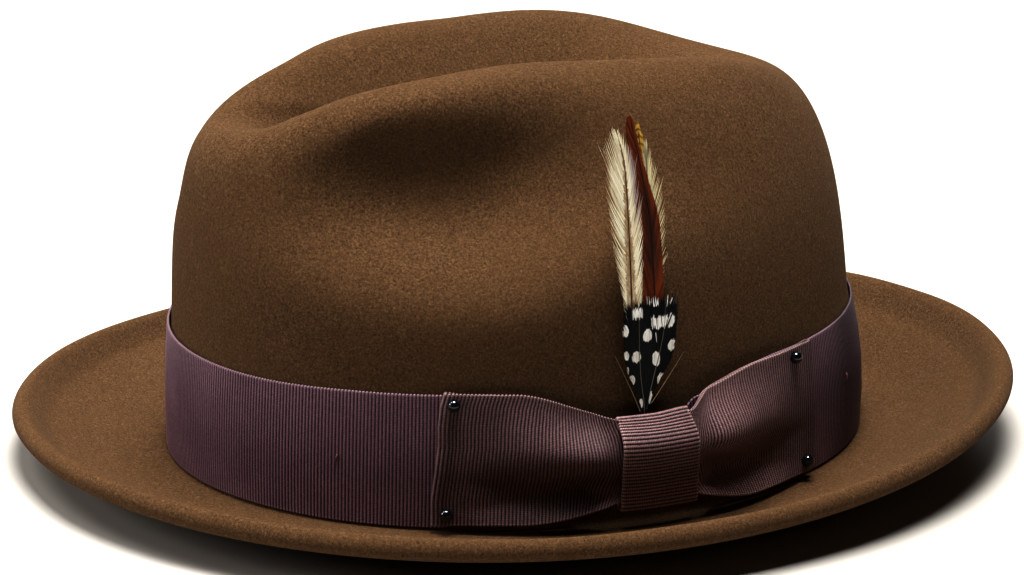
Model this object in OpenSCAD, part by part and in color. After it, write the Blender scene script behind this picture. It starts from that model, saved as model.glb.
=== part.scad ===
// Fedora hat: pinched felt crown and dished brim, ribbon band with a tailored
// bow, ball-headed pins, a lift-out feather mount, leather sweatband and lining.
// Millimetres. +Z is up, -Y is the hat's front, +X is the wearer's left.
// Origin: centre of the hat, in the plane the brim's flat underside rests on.

/* [Crown] */
// Half width of the crown at its base
crown_a = 86; // [80:0.5:92]
// Half length of the crown at its base
crown_b = 103.5; // [96:0.5:111]
// Height of the open crown above the band's lower edge
crown_h = 118.301; // [105:0.5:130]
// Depth of the centre dent
dent_depth = 31.500; // [15:0.5:35]
// Depth of the two front pinches
pinch_depth = 28.198; // [10:0.5:32]
// Thickness of the felt
felt_t = 2.2; // [1.8:0.1:3]

/* [Brim] */
// Width of the brim from the crown to the outer edge
brim_w = 45.45; // [35:0.5:60]
// Height of the brim edge's middle at the sides
edge_rise = 13.4; // [9:0.1:22]
// Height of the turned-up, welted edge
welt_h = 6.3; // [5:0.1:8]

/* [Trim] */
// Lower edge of the ribbon band
band_z0 = 3.0; // [2.6:0.1:5]
// Upper edge of the ribbon band at the sides
band_z1 = 41.3; // [30:0.1:44]
// Thickness of the ribbon
ribbon_t = 0.8; // [0.6:0.1:1.2]
// Radius of a pin's ball head
pin_r = 1.8; // [1.4:0.1:2.4]
// Height of the leather sweatband
sweat_h = 35; // [28:0.5:42]

/* [Hidden] */

NT = 64;          // steps round the hat
NA = 21;          // rows from the band's top edge to the crown's centre
ZB = 3.5;         // height where the crown's curve starts

function clamp01(x) = min(max(x, 0), 1);
function ss(x) = let (q = clamp01(x)) q*q*(3 - 2*q);
function sgn(x) = x < 0 ? -1 : 1;
function unit(v) = v/norm(v);
function flip(v) = [for (k = [len(v)-1:-1:0]) v[k]];

// ---------- crown ----------
TILT = [0.0499, -0.0569, 0.0287]; // how the crown's height runs from back to front and side to side
function pinch_y(y) = exp(-pow((y + 56.945)/(y < -56.945 ? 30.927 : 57.781), 2));
function cn(s) = 3.628 + 5.690*pow(max(-s, 0), 2) + 1.456*pow(max(s, 0), 2) + 0.685*pinch_y(crown_b*s);
function taper(s, e) = 1 - 0.0549*e - 0.0717*pow(max(s, 0), 2)*e + 0.0384*pow(max(-s, 0), 2)*e;
function crown(t, a) = let (
    s = sin(t), c = cos(t), n = cn(s),
    r = pow(pow(cos(a), n) + pow(sin(a), n), -1/n),
    rho = r*cos(a)*taper(s, r*sin(a)), e = r*sin(a),
    x = crown_a*rho*c, y = crown_b*rho*s,
    z = crown_h*e*(1 + TILT[0]*y/crown_b + TILT[1]*pow(y/crown_b, 2) + TILT[2]*x/crown_a),
    w = 40.838 + 9.029*ss((y + 95)/110),
    h = ss((y + 107.374)/63.220)*(1 - ss((y - 18.934)/79.443)),
    g = pow(max(1 - pow((x + 1.431)/w, 2), 0), 2.116),
    z1 = z - dent_depth*h*g*ss((z - 55)/40)
      + 2.330*pinch_y(y)*exp(-pow((abs(x) - 58)/11, 2))*ss((z - 70)/25),
    dz = z - 88.759 - 11.060*ss((y + 50)/60),
    i = pinch_depth*pinch_y(y)*(dz < 0 ? exp(-pow(-dz/19.538, 2.715))
      : 0.120 + 0.880*exp(-pow(dz/23.288, 1.667)))
  ) [x - sgn(x)*i*min(abs(x)/25, 1), y, z1 + ZB];

function cnorm(t, a) = a > 88.5
  ? unit(cross(crown(0, 87.5) - crown(180, 87.5), crown(90, 87.5) - crown(270, 87.5)))
  : unit(cross(crown(t + 0.6, a) - crown(t - 0.6, a), crown(t, a + 0.6) - crown(t, a - 0.6)));

function cshell(t, a, o) = crown(t, a) - o*cnorm(t, a);

// Point at height z on the upright part of the crown, o outside the felt's outer face.
function enorm(t) = unit([crown_b*cos(t), crown_a*sin(t), 0]);
// The headband part of the wall stands out a little at the back and front ends.
function bulge(s, z) = (s > 0 ? 1.6 : 0.6)*ss((abs(s) - 0.3)/0.6)*sin(180*min(max((z - ZB)/38, 0), 1));
function wall(t, z, oo) = let (
    s = sin(t), c = cos(t), n = cn(s), o = oo + bulge(s, z),
    e = max(z - ZB, 0)/(crown_h*(1 + TILT[0]*s + TILT[1]*s*s + TILT[2]*c)),
    k = pow(1 - pow(e, n), 1/n)*taper(s, e), v = enorm(t)
  ) [crown_a*k*c + o*v[0], crown_b*k*s + o*v[1], z];

// First row of the crown's curve, above the band: the angle that meets height z.
function row_a(t, z) = let (
    s = sin(t), n = cn(s),
    e = (z - ZB)/(crown_h*(1 + TILT[0]*s + TILT[1]*s*s + TILT[2]*cos(t)))
  ) atan2(e, pow(1 - pow(e, n), 1/n));
A_Z = 50;         // rows above this height follow the crown's curve
function crow(t, j) = let (a0 = row_a(t, A_Z)) a0 + (90 - a0)*j/NA;

// ---------- brim ----------
function edge_mid(t) = edge_rise + 2.3*sin(t) + 2.5*cos(t) - 2.6*cos(2*t) + 0.9*sin(2*t);
function brim_out(t) = brim_w + 0.5*cos(2*t);
function brim_pt(t, o, z) = let (v = enorm(t)) [crown_a*cos(t) + o*v[0], crown_b*sin(t) + o*v[1], z];
// Height of the underside, flat near the crown, dished up to the edge.
function under(t, o) = let (w = brim_out(t) - 3.3, x = clamp01((o - 9)/(w - 9)))
  (edge_mid(t) - welt_h/2)*(0.45*x*x*(3 - 2*x) + 0.55*pow(x, 1.5));
function topz(t, o) = let (u = brim_out(t) - o)
  under(t, o) + felt_t + (welt_h - felt_t)*ss((11.5 - u)/8);

TOP_O = [2.2, 6, 10, 15, 20, 25, 30];
RIM_U = [12, 9.6, 7.6, 5.6, 3.3];
CAP_B = [36, 72, 108, 144];

function felt_col(t) = let (w = brim_out(t), h = welt_h/2) concat(
  [for (j = [NA-1:-1:0]) crown(t, crow(t, j))],
  [for (z = [41, 22, 9, ZB]) wall(t, z, 0)],
  [brim_pt(t, 0.38, ZB - 0.92)],
  [for (o = TOP_O) brim_pt(t, o - 0.9, topz(t, o - 0.9))],
  [for (u = RIM_U) brim_pt(t, w - u, topz(t, w - u))],
  [for (b = CAP_B) brim_pt(t, w - h + h*sin(b), under(t, w - 3.3) + h + h*cos(b))],
  [for (u = [3.3, 9, 14]) brim_pt(t, w - u, under(t, w - u))],
  [for (o = [25, 19, 13.5, 9, 3]) brim_pt(t, o, under(t, o))],
  [for (z = [0, 5, 22, 41]) wall(t, z, -felt_t)],
  [for (j = [0:NA-1]) cshell(t, crow(t, j), felt_t)]);

// Closed skin from columns of points, with one pole at each end of the columns.
module pole_mesh(P, p0, p1, inv = false) {
  n = len(P); m = len(P[0]);
  f = concat(
      [for (i = [0:n-1], j = [0:m-2]) let (k = (i + 1)%n) [i*m+j, k*m+j, k*m+j+1]],
      [for (i = [0:n-1], j = [0:m-2]) let (k = (i + 1)%n) [i*m+j, k*m+j+1, i*m+j+1]],
      [for (i = [0:n-1]) [n*m, ((i + 1)%n)*m, i*m]],
      [for (i = [0:n-1]) [n*m+1, i*m+m-1, ((i + 1)%n)*m+m-1]]);
  polyhedron(points = concat([for (c = P) each c], [p0, p1]), faces = inv ? [for (t = f) flip(t)] : f);
}

// Closed skin that joins up both ways: columns of closed profiles, in a ring.
module ring_mesh(P, inv = false) {
  n = len(P); m = len(P[0]);
  f = concat(
      [for (i = [0:n-1], j = [0:m-1]) let (k = (i + 1)%n, l = (j + 1)%m) [i*m+j, k*m+j, k*m+l]],
      [for (i = [0:n-1], j = [0:m-1]) let (k = (i + 1)%n, l = (j + 1)%m) [i*m+j, k*m+l, i*m+l]]);
  polyhedron(points = [for (c = P) each c], faces = inv ? [for (t = f) flip(t)] : f);
}

// The same, open along its length: each end is closed by a strip between the
// profile's two sides, so the profile has an even number of points.
module bar_mesh(P) {
  n = len(P); m = len(P[0]); h = m/2; e = (n - 1)*m;
  polyhedron(
    points = [for (c = P) each c],
    faces = concat(
      [for (i = [0:n-2], j = [0:m-1]) let (k = i + 1, l = (j + 1)%m) [i*m+j, k*m+j, k*m+l]],
      [for (i = [0:n-2], j = [0:m-1]) let (k = i + 1, l = (j + 1)%m) [i*m+j, k*m+l, i*m+l]],
      [for (j = [0:h-2]) [j, j+1, m-1-j]],
      [for (j = [0:h-3]) [j+1, m-2-j, m-1-j]],
      h > 1 ? [[h-1, h, h+1 > m-1 ? 0 : h+1]] : [],
      [for (j = [0:h-2]) [e+j+1, e+j, e+m-1-j]],
      [for (j = [0:h-3]) [e+m-2-j, e+j+1, e+m-1-j]],
      h > 1 ? [[e+h, e+h-1, e+(h+1 > m-1 ? 0 : h+1)]] : []));
}

function ring_t(i) = 360*i/NT;

module felt_body() {
  color("#5c3d22")
  pole_mesh([for (i = [0:NT-1]) felt_col(ring_t(i))], crown(0, 90), cshell(0, 90, felt_t));
}

// ---------- ribbon ----------
// A wing is a loop of ribbon: a face layer, a fold at the outer end and a back
// layer against the band. q runs 0 at the knot to 1 at the outer end.
KNOT_T = -2.6;    // angle of the knot's middle
function wing_t(side, q) = side < 0 ? KNOT_T - 0.35 - 32.6*q : KNOT_T + 0.35 + 33.0*q;
function wing_z0(side, q) = side < 0
  ? 11.6 - 5.0*ss(q/0.6) - 2.3*q : 11.4 - 5.0*ss(q/0.55) - 1.9*q;
function wing_z1(side, q) = side < 0
  ? 33.2 + 8.8*ss((q - 0.06)/0.6)
  : 33.2 + 0.8*ss(q/0.12) + 3.9*ss((q - 0.155)/0.11) + 4.7*ss((q - 0.15)/0.45);
// The face layer's stand-off: full above, tucked under below, the lower edge flaring out.
function face_o(side, q, f) = let (
    m = 1 - ss((q - 0.25)/0.75), u = ss((q - 0.17)/0.12),
    top = 1 - (0.30 + 0.36*u)*ss((f - 0.56)/0.44), v = exp(-pow((f - 0.23)/0.16, 2)),
    puff = 2.3*u*exp(-pow((q - 0.32)/0.25, 2))*exp(-pow((f - 0.57)/(f < 0.57 ? 0.14 : 0.2), 2)),
    tuck = 1.5*(1 - ss(f/0.35))*(1 - ss((q - 0.15)/0.1))
  ) max(2.75, 2.75 + 5.55*m*top + puff - tuck - 5.2*pow(m, 0.7)*v*ss(q/0.12)*(0.30 + 0.70*ss((q - 0.1)/0.2)) + 0.5*sin(180*q)*(1 - v));
function back_o(q) = 5.55 - 3.95*ss((q - 0.2)/0.16);

// Stations along the loop: face layer out to the fold, then back layer in again.
WQ = [0, 0.06, 0.12, 0.17, 0.22, 0.28, 0.36, 0.46, 0.56, 0.67, 0.78, 0.88, 0.96];
WF = [0, 0.12, 0.24, 0.36, 0.5, 0.7, 1];
function wing_face(side, q, f, o) = let (z0 = wing_z0(side, q), z1 = wing_z1(side, q))
  wall(wing_t(side, q), z0 + (z1 - z0)*f, o);
// The back layer is a little narrower, so that it stays hidden.
function wing_back(side, q, f, o) = let (z0 = wing_z0(side, q), z1 = wing_z1(side, q),
    k = 1 - ss((q - 0.9)/0.1), g = max(face_o(side, q, 0.9) - back_o(q), 0)*k)
  wall(wing_t(side, q), (z0 + 0.8 + (z1 - z0 - 1.4 - 0.30*g)*f)*k + (z0 + (z1 - z0)*f)*(1 - k), o);
function wing_sec(side, q, face) = face
  ? concat(
    [for (f = WF) wing_face(side, q, f, max(face_o(side, q, f), back_o(q) + 1.75))],
    [for (k = [len(WF)-1:-1:0]) let (f = WF[k])
       wing_face(side, q, f, max(face_o(side, q, f), back_o(q) + 1.75) - ribbon_t)])
  : concat(
    [for (f = WF) wing_back(side, q, f, back_o(q))],
    [for (k = [len(WF)-1:-1:0]) wing_back(side, q, WF[k], back_o(q) + ribbon_t*0.75)]);
function fold_sec(side) = concat(
  [for (f = WF) wing_face(side, 1.012, f, 2.1)],
  [for (k = [len(WF)-1:-1:0]) wing_face(side, 0.985, WF[k], 2.1)]);
function wing_cols(side) = concat(
  [for (q = WQ) wing_sec(side, q, true)],
  [fold_sec(side)],
  [for (k = [len(WQ)-1:-1:0]) wing_sec(side, WQ[k], false)]);
module wing(side) {
  c = wing_cols(side);
  bar_mesh(side < 0 ? c : [for (p = c) flip(p)]);
}
module bow_front_wing() { color("#4a2c34") wing(-1); }
module bow_rear_wing() { color("#4a2c34") wing(1); }

// The band is gathered behind the bow, so that its edges stay hidden.
function band_q(t) = let (d = (t - KNOT_T + 540)%360 - 180) [d < 0 ? -1 : 1, abs(d)/33];
function band_h(q) = 1 - ss((q - 0.86)/0.12);
function band_top(t) = let (s = sin(t), z = band_z1 + 0.8*s - 1.1*ss((-s - 0.75)/0.25),
    b = band_q(t), h = band_h(b[1]), w = wing_z1(b[0], b[1]) - 0.9 - 2.7*(1 - ss((b[1] - 0.25)/0.6)))
  z*(1 - h) + min(w, z)*h;
function band_bot(t) = let (b = band_q(t), h = band_h(b[1])) band_z0*(1 - h) + (wing_z0(b[0], b[1]) + 0.9)*h;
function band_col(t) = let (z0 = band_bot(t), d = band_top(t) - z0) concat(
  [for (k = [0:3]) wall(t, z0 + d*k/3, 0.35 + ribbon_t)],
  [for (k = [3:-1:0]) wall(t, z0 + d*k/3, 0.35)]);
module hat_band() {
  color("#3a2229") ring_mesh([for (i = [0:NT-1]) flip(band_col(ring_t(i)))]);
}

// The knot is a strip wrapped over both wings, leaving a pocket behind it.
function knot_path(o) = [
  [4.4 - o, 9.6 - o], [4.7 - o, 8.0 - o*1.1], [6.4, 7.5 - o*1.2], [8.0 + o*0.7, 8.3 - o],
  [8.9 + o, 12], [10.1 + o, 18], [11.6 + o, 25.5], [10.6 + o, 30.2], [8.2 + o*0.7, 35.2 + o],
  [6.3, 36.2 + o*1.2], [4.7 - o, 35.6 + o], [4.4 - o, 33.8], [4.4 - o, 22]];
function knot_sec(p, dt, z) = wall(KNOT_T + dt, p[1], p[0]);
module knot_loop() {
  n = 13; d = [-6.1, -5.2, 0, 5.2, 6.1]; k = [0.45, 0, 0.1, 0, 0.45];
  // profile: outer face across the strip, then inner face back
  ring_mesh([for (i = [0:n-1]) concat(
    [for (j = [0:4]) let (p = knot_path(0.05 - k[j]*0.5)[i]) wall(KNOT_T + d[j], p[1], p[0] + 0)],
    [for (j = [4:-1:0]) let (p = knot_path(-ribbon_t + k[j]*0.3)[i]) wall(KNOT_T + d[j], p[1], p[0] + 0)])]);
}
module bow_knot() { color("#4a2c34") knot_loop(); }

// ---------- pins ----------
// [wing, station along it, height, head stand-off]
PINS = [[-1, 0.927, 39.0], [-1, 0.955, 8.0], [1, 0.855, 39.9], [1, 0.94, 8.4]];
function pin_f(p) = (p[2] - wing_z0(p[0], p[1]))/(wing_z1(p[0], p[1]) - wing_z0(p[0], p[1]));
function pin_o(p) = face_o(p[0], p[1], pin_f(p)) + pin_r*0.82;
module pin_at(p) {
  t = wing_t(p[0], p[1]); w = wall(t, p[2], pin_o(p)); v = enorm(t);
  translate(w) rotate([0, 0, atan2(v[1], v[0])]) children();
}
module pin_heads() {
  color("#0b0b0d") for (p = PINS) pin_at(p) sphere(r = pin_r, $fn = 32);
}
module pin_shanks() {
  color("#a9abb0") for (p = PINS) pin_at(p)
    rotate([0, -90, 0]) rotate([(p[0] < 0 ? 1 : -1)*58, 0, 0]) translate([0, 0, pin_r - 0.4]) cylinder(r = 0.3, h = 3.6, $fn = 24);
}

// ---------- thread tacks that hold the band ----------
TACKS = [[-52.5, 21], [46, 24.5], [118, 22], [205, 22]];
module band_tacks() {
  color("#4d2b33") for (p = TACKS) {
    w = wall(p[0], p[1], 0.35 + ribbon_t + 0.32); v = enorm(p[0]);
    translate(w) rotate([0, 0, atan2(v[1], v[0])]) rotate([25, 0, 0])
      translate([0, 0, -1]) cylinder(r = 0.25, h = 2, $fn = 20);
  }
}

// ---------- feather mount ----------
FX = 87.68; FY = -6.6; // the quills' place in the pocket
function lean(z) = -0.085*max(z - 38, 0);
// Vane: q 0 at the quill's foot to 1 at the tip.
// [layer, foot y, mid y, tip y, foot z, vane start z, tip z, half width, widest at, thickness]
function vane_y(v, q) = v[1] + (v[2] - v[1])*ss(q/0.45) + (v[3] - v[2])*ss((q - 0.5)/0.5);
function vane_w(v, q) = let (z = v[4] + (v[6] - v[4])*q, s = (z - v[5])/(v[6] - v[5]))
  s <= 0 ? 0.3 : 0.3 + (v[7] - 0.3)*pow(sin(180*pow(clamp01(s), v[8])), 0.6);
function layer_x(o, z) = FX + o*(0.34 + 0.56*ss((z - 38)/22)) + lean(z);
module vane(v) {
  n = 16;
  bar_mesh([for (i = [0:n]) let (
      q = i/n, z = v[4] + (v[6] - v[4])*q, w = i == n ? 0.25 : vane_w(v, q),
      y = vane_y(v, q), x = layer_x(v[0] - 2.5, z), h = v[9]/2)
    [[x, y - w, z], [x + h, y, z], [x, y + w, z], [x - h, y, z]]]);
}
module feather_gold() { color("#b8923c") vane([0, -6.6, -4.6, -5.7, 30, 56, 113.4, 1.9, 1.3, 0.3]); }
module feather_grizzly() { color("#cdbf9c") vane([1, -6.6, -1.9, -4.0, 30, 50, 109.6, 4.4, 1.0, 0.3]); }
module feather_rust() { color("#5a2312") vane([2, -6.6, -2.7, -9.0, 30, 44, 115.8, 3.0, 0.8, 0.3]); }
module feather_cream() { color("#d9cba8") vane([3, -6.6, -10.3, -14.2, 30, 44, 113.6, 5.2, 1.2, 0.3]); }
module feather_guinea_rear() { color("#1a1a1c") vane([4, -6.6, -2.0, -0.4, 30, 33, 66.4, 4.4, 1.3, 0.3]); }
module feather_guinea_front() { color("#1a1a1c") vane([5, -6.6, -8.7, -9.0, 30, 33, 65.8, 4.3, 1.3, 0.3]); }
module feather_binding() {
  color("#15110f") translate([FX, FY, 21.5]) scale([1.05, 1.2, 1]) cylinder(r = 1.05, h = 14, $fn = 40);
}

// ---------- sweatband ----------
function sweat_col(t) = concat(
  [for (z = [2.5, 14, 26, 2.5 + sweat_h]) wall(t, z, -felt_t - 1.3)],
  [for (z = [2.5 + sweat_h, 26, 14, 2.5]) wall(t, z, -felt_t - 2.4)]);
module sweatband() {
  color("#3b2a1f") bar_mesh([for (i = [0:NT]) flip(sweat_col(90.9 + 358.2*i/NT))]);
}
module sweatband_reed() {
  color("#2e211a") ring_mesh([for (i = [0:NT-1]) let (t = ring_t(i))
    [for (b = [315:-45:0]) wall(t, 1.25 + 1.0*sin(b), -felt_t - 1.5 + 1.0*cos(b))]]);
}
module sweatband_stitches() {
  color("#c9b48c") for (i = [0:71]) let (t = 2.5 + 5*i) if (abs(t - 90) > 3) {
    w = wall(t, 4.4, -felt_t - 2.4 - 0.28); v = enorm(t);
    translate(w) rotate([0, 0, atan2(v[1], v[0])]) rotate([90, 0, 0])
      translate([0, 0, -2]) cylinder(r = 0.22, h = 4, $fn = 16);
  }
}
// Small bow over the seam at the back: two loops, two tails and a knot.
module sweatband_bow() {
  color("#2a1a1d") translate([0, wall(90, 32, -felt_t - 2.4)[1] - 0.6, 30]) {
    for (s = [-1, 1]) {
      difference() {
        translate([s*6.4, -1.4, 0]) rotate([90, 0, 0]) scale([1.25, 0.8, 1]) rotate([0, 0, 0]) cylinder(r = 4.2, h = 2.2, center = true, $fn = 40);
        translate([s*6.4, -1.4, 0]) rotate([90, 0, 0]) scale([1.25, 0.8, 1]) cylinder(r = 3.2, h = 3, center = true, $fn = 40);
      }
      translate([s*2.6, -0.9, -7.4]) rotate([0, s*22, 0]) cube([2.6, 0.6, 9.6], center = true);
    }
    translate([0, -1.5, 0]) cube([4.2, 2.6, 4.4], center = true);
  }
}

// ---------- lining ----------
L_O = 0.4; L_T = 0.5; L_J = 11;
function lin(t, j, o) = cshell(t, crow(t, j), felt_t + o);
function side_col(t) = concat(
  [for (z = [24, 41]) wall(t, z, -felt_t - L_O)], [for (j = [0:L_J]) lin(t, j, L_O)],
  [for (j = [L_J:-1:0]) lin(t, j, L_O + L_T)], [for (z = [41, 24]) wall(t, z, -felt_t - L_O - L_T)]);
module lining_side() {
  color("#b9935a") ring_mesh([for (i = [0:NT-1]) side_col(ring_t(i))], true);
}
module lining_tip() {
  color("#b9935a") pole_mesh([for (i = [0:NT-1]) let (t = ring_t(i)) concat(
      [for (j = [NA-1:-1:L_J+1]) lin(t, j, L_O + L_T)], [for (j = [L_J+1:NA-1]) lin(t, j, L_O)])],
    cshell(0, 90, felt_t + L_O + L_T), cshell(0, 90, felt_t + L_O), true);
}

felt_body();
hat_band();
bow_front_wing();
bow_rear_wing();
bow_knot();
pin_heads();
pin_shanks();
band_tacks();
feather_cream();
feather_grizzly();
feather_rust();
feather_gold();
feather_guinea_front();
feather_guinea_rear();
feather_binding();
sweatband();
sweatband_reed();
sweatband_stitches();
sweatband_bow();
lining_side();
lining_tip();
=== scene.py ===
import math
import bpy
import numpy as np
from mathutils import Vector, Matrix


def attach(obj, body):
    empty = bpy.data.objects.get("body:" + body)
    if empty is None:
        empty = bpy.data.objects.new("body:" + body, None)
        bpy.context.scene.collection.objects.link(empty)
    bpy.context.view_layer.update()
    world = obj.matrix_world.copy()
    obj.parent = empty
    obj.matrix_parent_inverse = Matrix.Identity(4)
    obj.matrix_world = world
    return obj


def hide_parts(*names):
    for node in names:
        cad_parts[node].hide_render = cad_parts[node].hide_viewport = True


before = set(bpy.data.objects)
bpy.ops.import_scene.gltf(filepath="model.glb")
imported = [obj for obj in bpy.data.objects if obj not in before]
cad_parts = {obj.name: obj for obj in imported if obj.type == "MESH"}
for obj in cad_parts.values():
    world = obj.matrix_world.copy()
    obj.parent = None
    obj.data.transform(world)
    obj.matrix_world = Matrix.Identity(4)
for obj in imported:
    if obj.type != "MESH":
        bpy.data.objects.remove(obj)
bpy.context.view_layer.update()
rng = np.random.default_rng(20)
TAU = 2 * math.pi

# ---------------------------------------------------------------- camera
cd = bpy.data.cameras.new("cam")
cam = bpy.data.objects.new("cam", cd)
bpy.context.scene.collection.objects.link(cam)
RIGHT = Vector((0.4554327, 0.8901867, 0.0121975))
UP = Vector((-0.2663170, 0.1231527, 0.9559857))
FWD = Vector((-0.8495036, 0.4386355, -0.2931596))
cam.matrix_world = Matrix((
    (RIGHT.x, UP.x, -FWD.x, 1.0315312),
    (RIGHT.y, UP.y, -FWD.y, -0.5347927),
    (RIGHT.z, UP.z, -FWD.z, 0.4002734),
    (0, 0, 0, 1)))
cd.sensor_fit = "HORIZONTAL"
cd.sensor_width = 36.0
cd.lens = 147.301
cd.clip_start, cd.clip_end = 0.05, 60
bpy.context.scene.camera = cam

# ---------------------------------------------------------------- shape of the hat (mm)
A, B, H, ZB = 86.0, 103.5, 118.301, 3.5
TILT = (0.0499, -0.0569, 0.0287)
FELT_T, BRIM_W, RISE, WELT = 2.2, 45.45, 13.4, 6.3


def ss(x):
    x = np.clip(x, 0, 1)
    return x * x * (3 - 2 * x)


def pinch_y(y):
    return np.exp(-((y + 56.945) / np.where(y < -56.945, 30.927, 57.781)) ** 2)


def cn(s):
    return 3.628 + 5.690 * np.clip(-s, 0, 1) ** 2 + 1.456 * np.clip(s, 0, 1) ** 2 + 0.685 * pinch_y(B * s)


def taper(s, e):
    return 1 - 0.0549 * e - 0.0717 * np.clip(s, 0, 1) ** 2 * e + 0.0384 * np.clip(-s, 0, 1) ** 2 * e


def crown(t, a):
    s, c = np.sin(t), np.cos(t)
    n = cn(s)
    ca, sa = np.clip(np.cos(a), 0, 1), np.clip(np.sin(a), 0, 1)
    r = (ca ** n + sa ** n) ** (-1 / n)
    e = r * sa
    rho = r * ca * taper(s, e)
    x, y = A * rho * c, B * rho * s
    z = H * e * (1 + TILT[0] * y / B + TILT[1] * (y / B) ** 2 + TILT[2] * x / A)
    w = 40.838 + 9.029 * ss((y + 95) / 110)
    h = ss((y + 107.374) / 63.220) * (1 - ss((y - 18.934) / 79.443))
    g = np.clip(1 - ((x + 1.431) / w) ** 2, 0, 1) ** 2.116
    gy = pinch_y(y)
    z1 = z - 31.500 * h * g * ss((z - 55) / 40)
    z1 = z1 + 2.330 * gy * np.exp(-((np.abs(x) - 58) / 11) ** 2) * ss((z - 70) / 25)
    dz = z - 88.759 - 11.060 * ss((y + 50) / 60)
    i = 28.198 * gy * np.where(dz < 0, np.exp(-np.abs(dz / 19.538) ** 2.715), 0.120 + 0.880 * np.exp(-np.abs(dz / 23.288) ** 1.667))
    x1 = x - np.sign(x) * i * np.clip(np.abs(x) / 25, 0, 1)
    return np.stack(np.broadcast_arrays(x1, y, z1 + ZB), -1)


def enorm(t):
    v = np.stack([B * np.cos(t), A * np.sin(t), np.zeros_like(t)], -1)
    return v / np.linalg.norm(v, axis=-1, keepdims=True)


def wall(t, z, o):
    t, z, o = np.broadcast_arrays(np.asarray(t, float), np.asarray(z, float), np.asarray(o, float))
    s, c = np.sin(t), np.cos(t)
    # the headband part stands out a little at the back and front ends
    o = o + np.where(s > 0, 1.6, 0.6) * ss((np.abs(s) - 0.3) / 0.6) * np.sin(math.pi * np.clip((z - ZB) / 38, 0, 1))
    n = cn(s)
    e = np.clip(z - ZB, 0, None) / (H * (1 + TILT[0] * s + TILT[1] * s * s + TILT[2] * c))
    e = np.clip(e, 0, 0.9999)
    k = (1 - e ** n) ** (1 / n) * taper(s, e)
    v = enorm(t)
    return np.stack([A * k * c + o * v[..., 0], B * k * s + o * v[..., 1], z], -1)


def row_a(t, z):
    s = np.sin(t)
    n = cn(s)
    e = (z - ZB) / (H * (1 + TILT[0] * s + TILT[1] * s * s + TILT[2] * np.cos(t)))
    return np.arctan2(e, (1 - e ** n) ** (1 / n))


def edge_mid(t):
    return RISE + 2.3 * np.sin(t) + 2.5 * np.cos(t) - 2.6 * np.cos(2 * t) + 0.9 * np.sin(2 * t)


def brim_out(t):
    return BRIM_W + 0.5 * np.cos(2 * t)


def brim_pt(t, o, z):
    v = enorm(t)
    t, o, z = np.broadcast_arrays(t, o, z)
    return np.stack([A * np.cos(t) + o * v[..., 0], B * np.sin(t) + o * v[..., 1], z], -1)


def under(t, o):
    w = brim_out(t) - 3.3
    x = np.clip((o - 9) / (w - 9), 0, 1)
    return (edge_mid(t) - WELT / 2) * (0.45 * x * x * (3 - 2 * x) + 0.55 * x ** 1.5)


def topz(t, o):
    u = brim_out(t) - o
    return under(t, o) + FELT_T + (WELT - FELT_T) * ss((11.5 - u) / 8)


def wob(x, y, seed, n=5, lo=0.5, hi=2.0):
    """Smooth seeded unevenness, about -1 to 1."""
    r = np.random.default_rng(seed)
    out = 0
    for _ in range(n):
        a = r.uniform(0, TAU)
        f = r.uniform(lo, hi)
        out = out + np.sin(f * (x * math.cos(a) + y * math.sin(a)) + r.uniform(0, TAU))
    return out / n ** 0.5 / 1.3


# ---------------------------------------------------------------- mesh helpers
def make(name, verts, faces, mat, body="hat", node=(), smooth=True, attrs=None):
    me = bpy.data.meshes.new(name)
    verts = np.asarray(verts, float).reshape(-1, 3) / 1000.0
    faces = np.asarray(faces) if not isinstance(faces, list) else faces
    if isinstance(faces, np.ndarray) and faces.ndim == 2:
        n, k = faces.shape
        me.vertices.add(len(verts))
        me.vertices.foreach_set("co", verts.ravel())
        me.loops.add(n * k)
        me.loops.foreach_set("vertex_index", faces.ravel().astype(np.int32))
        me.polygons.add(n)
        me.polygons.foreach_set("loop_start", np.arange(0, n * k, k, dtype=np.int32))
        me.polygons.foreach_set("loop_total", np.full(n, k, dtype=np.int32))
    else:
        me.from_pydata(verts.tolist(), [], [list(map(int, f)) for f in faces])
    for key, val in (attrs or {}).items():
        val = np.asarray(val, float)
        if val.ndim == 1 or val.shape[-1] == 1:
            at = me.attributes.new(key, "FLOAT", "POINT")
            at.data.foreach_set("value", val.ravel())
        else:
            at = me.attributes.new(key, "FLOAT_VECTOR", "POINT")
            at.data.foreach_set("vector", val.ravel())
    me.update(calc_edges=True)
    me.validate()
    me.polygons.foreach_set("use_smooth", np.full(len(me.polygons), smooth))
    ob = bpy.data.objects.new(name, me)
    bpy.context.scene.collection.objects.link(ob)
    ob.data.materials.append(mat)
    if body:
        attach(ob, body)
    if node:
        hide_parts(*([node] if isinstance(node, str) else node))
    return ob


def grid_faces(n, m, ci=False, cj=False, off=0, flip=False):
    i = np.arange(n if ci else n - 1)[:, None]
    j = np.arange(m if cj else m - 1)[None, :]
    i2, j2 = (i + 1) % n, (j + 1) % m
    f = np.stack(np.broadcast_arrays(i * m + j, i2 * m + j, i2 * m + j2, i * m + j2), -1).reshape(-1, 4) + off
    return f[:, ::-1] if flip else f


def tri_pad(f3):
    return [list(x) for x in f3]


def normals_of(P, ci=False, cj=False):
    def diff(P, ax, closed):
        if closed:
            return np.roll(P, -1, ax) - np.roll(P, 1, ax)
        return np.gradient(P, axis=ax)
    n = np.cross(diff(P, 0, ci), diff(P, 1, cj))
    return n / np.maximum(np.linalg.norm(n, axis=-1, keepdims=True), 1e-9)


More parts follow.
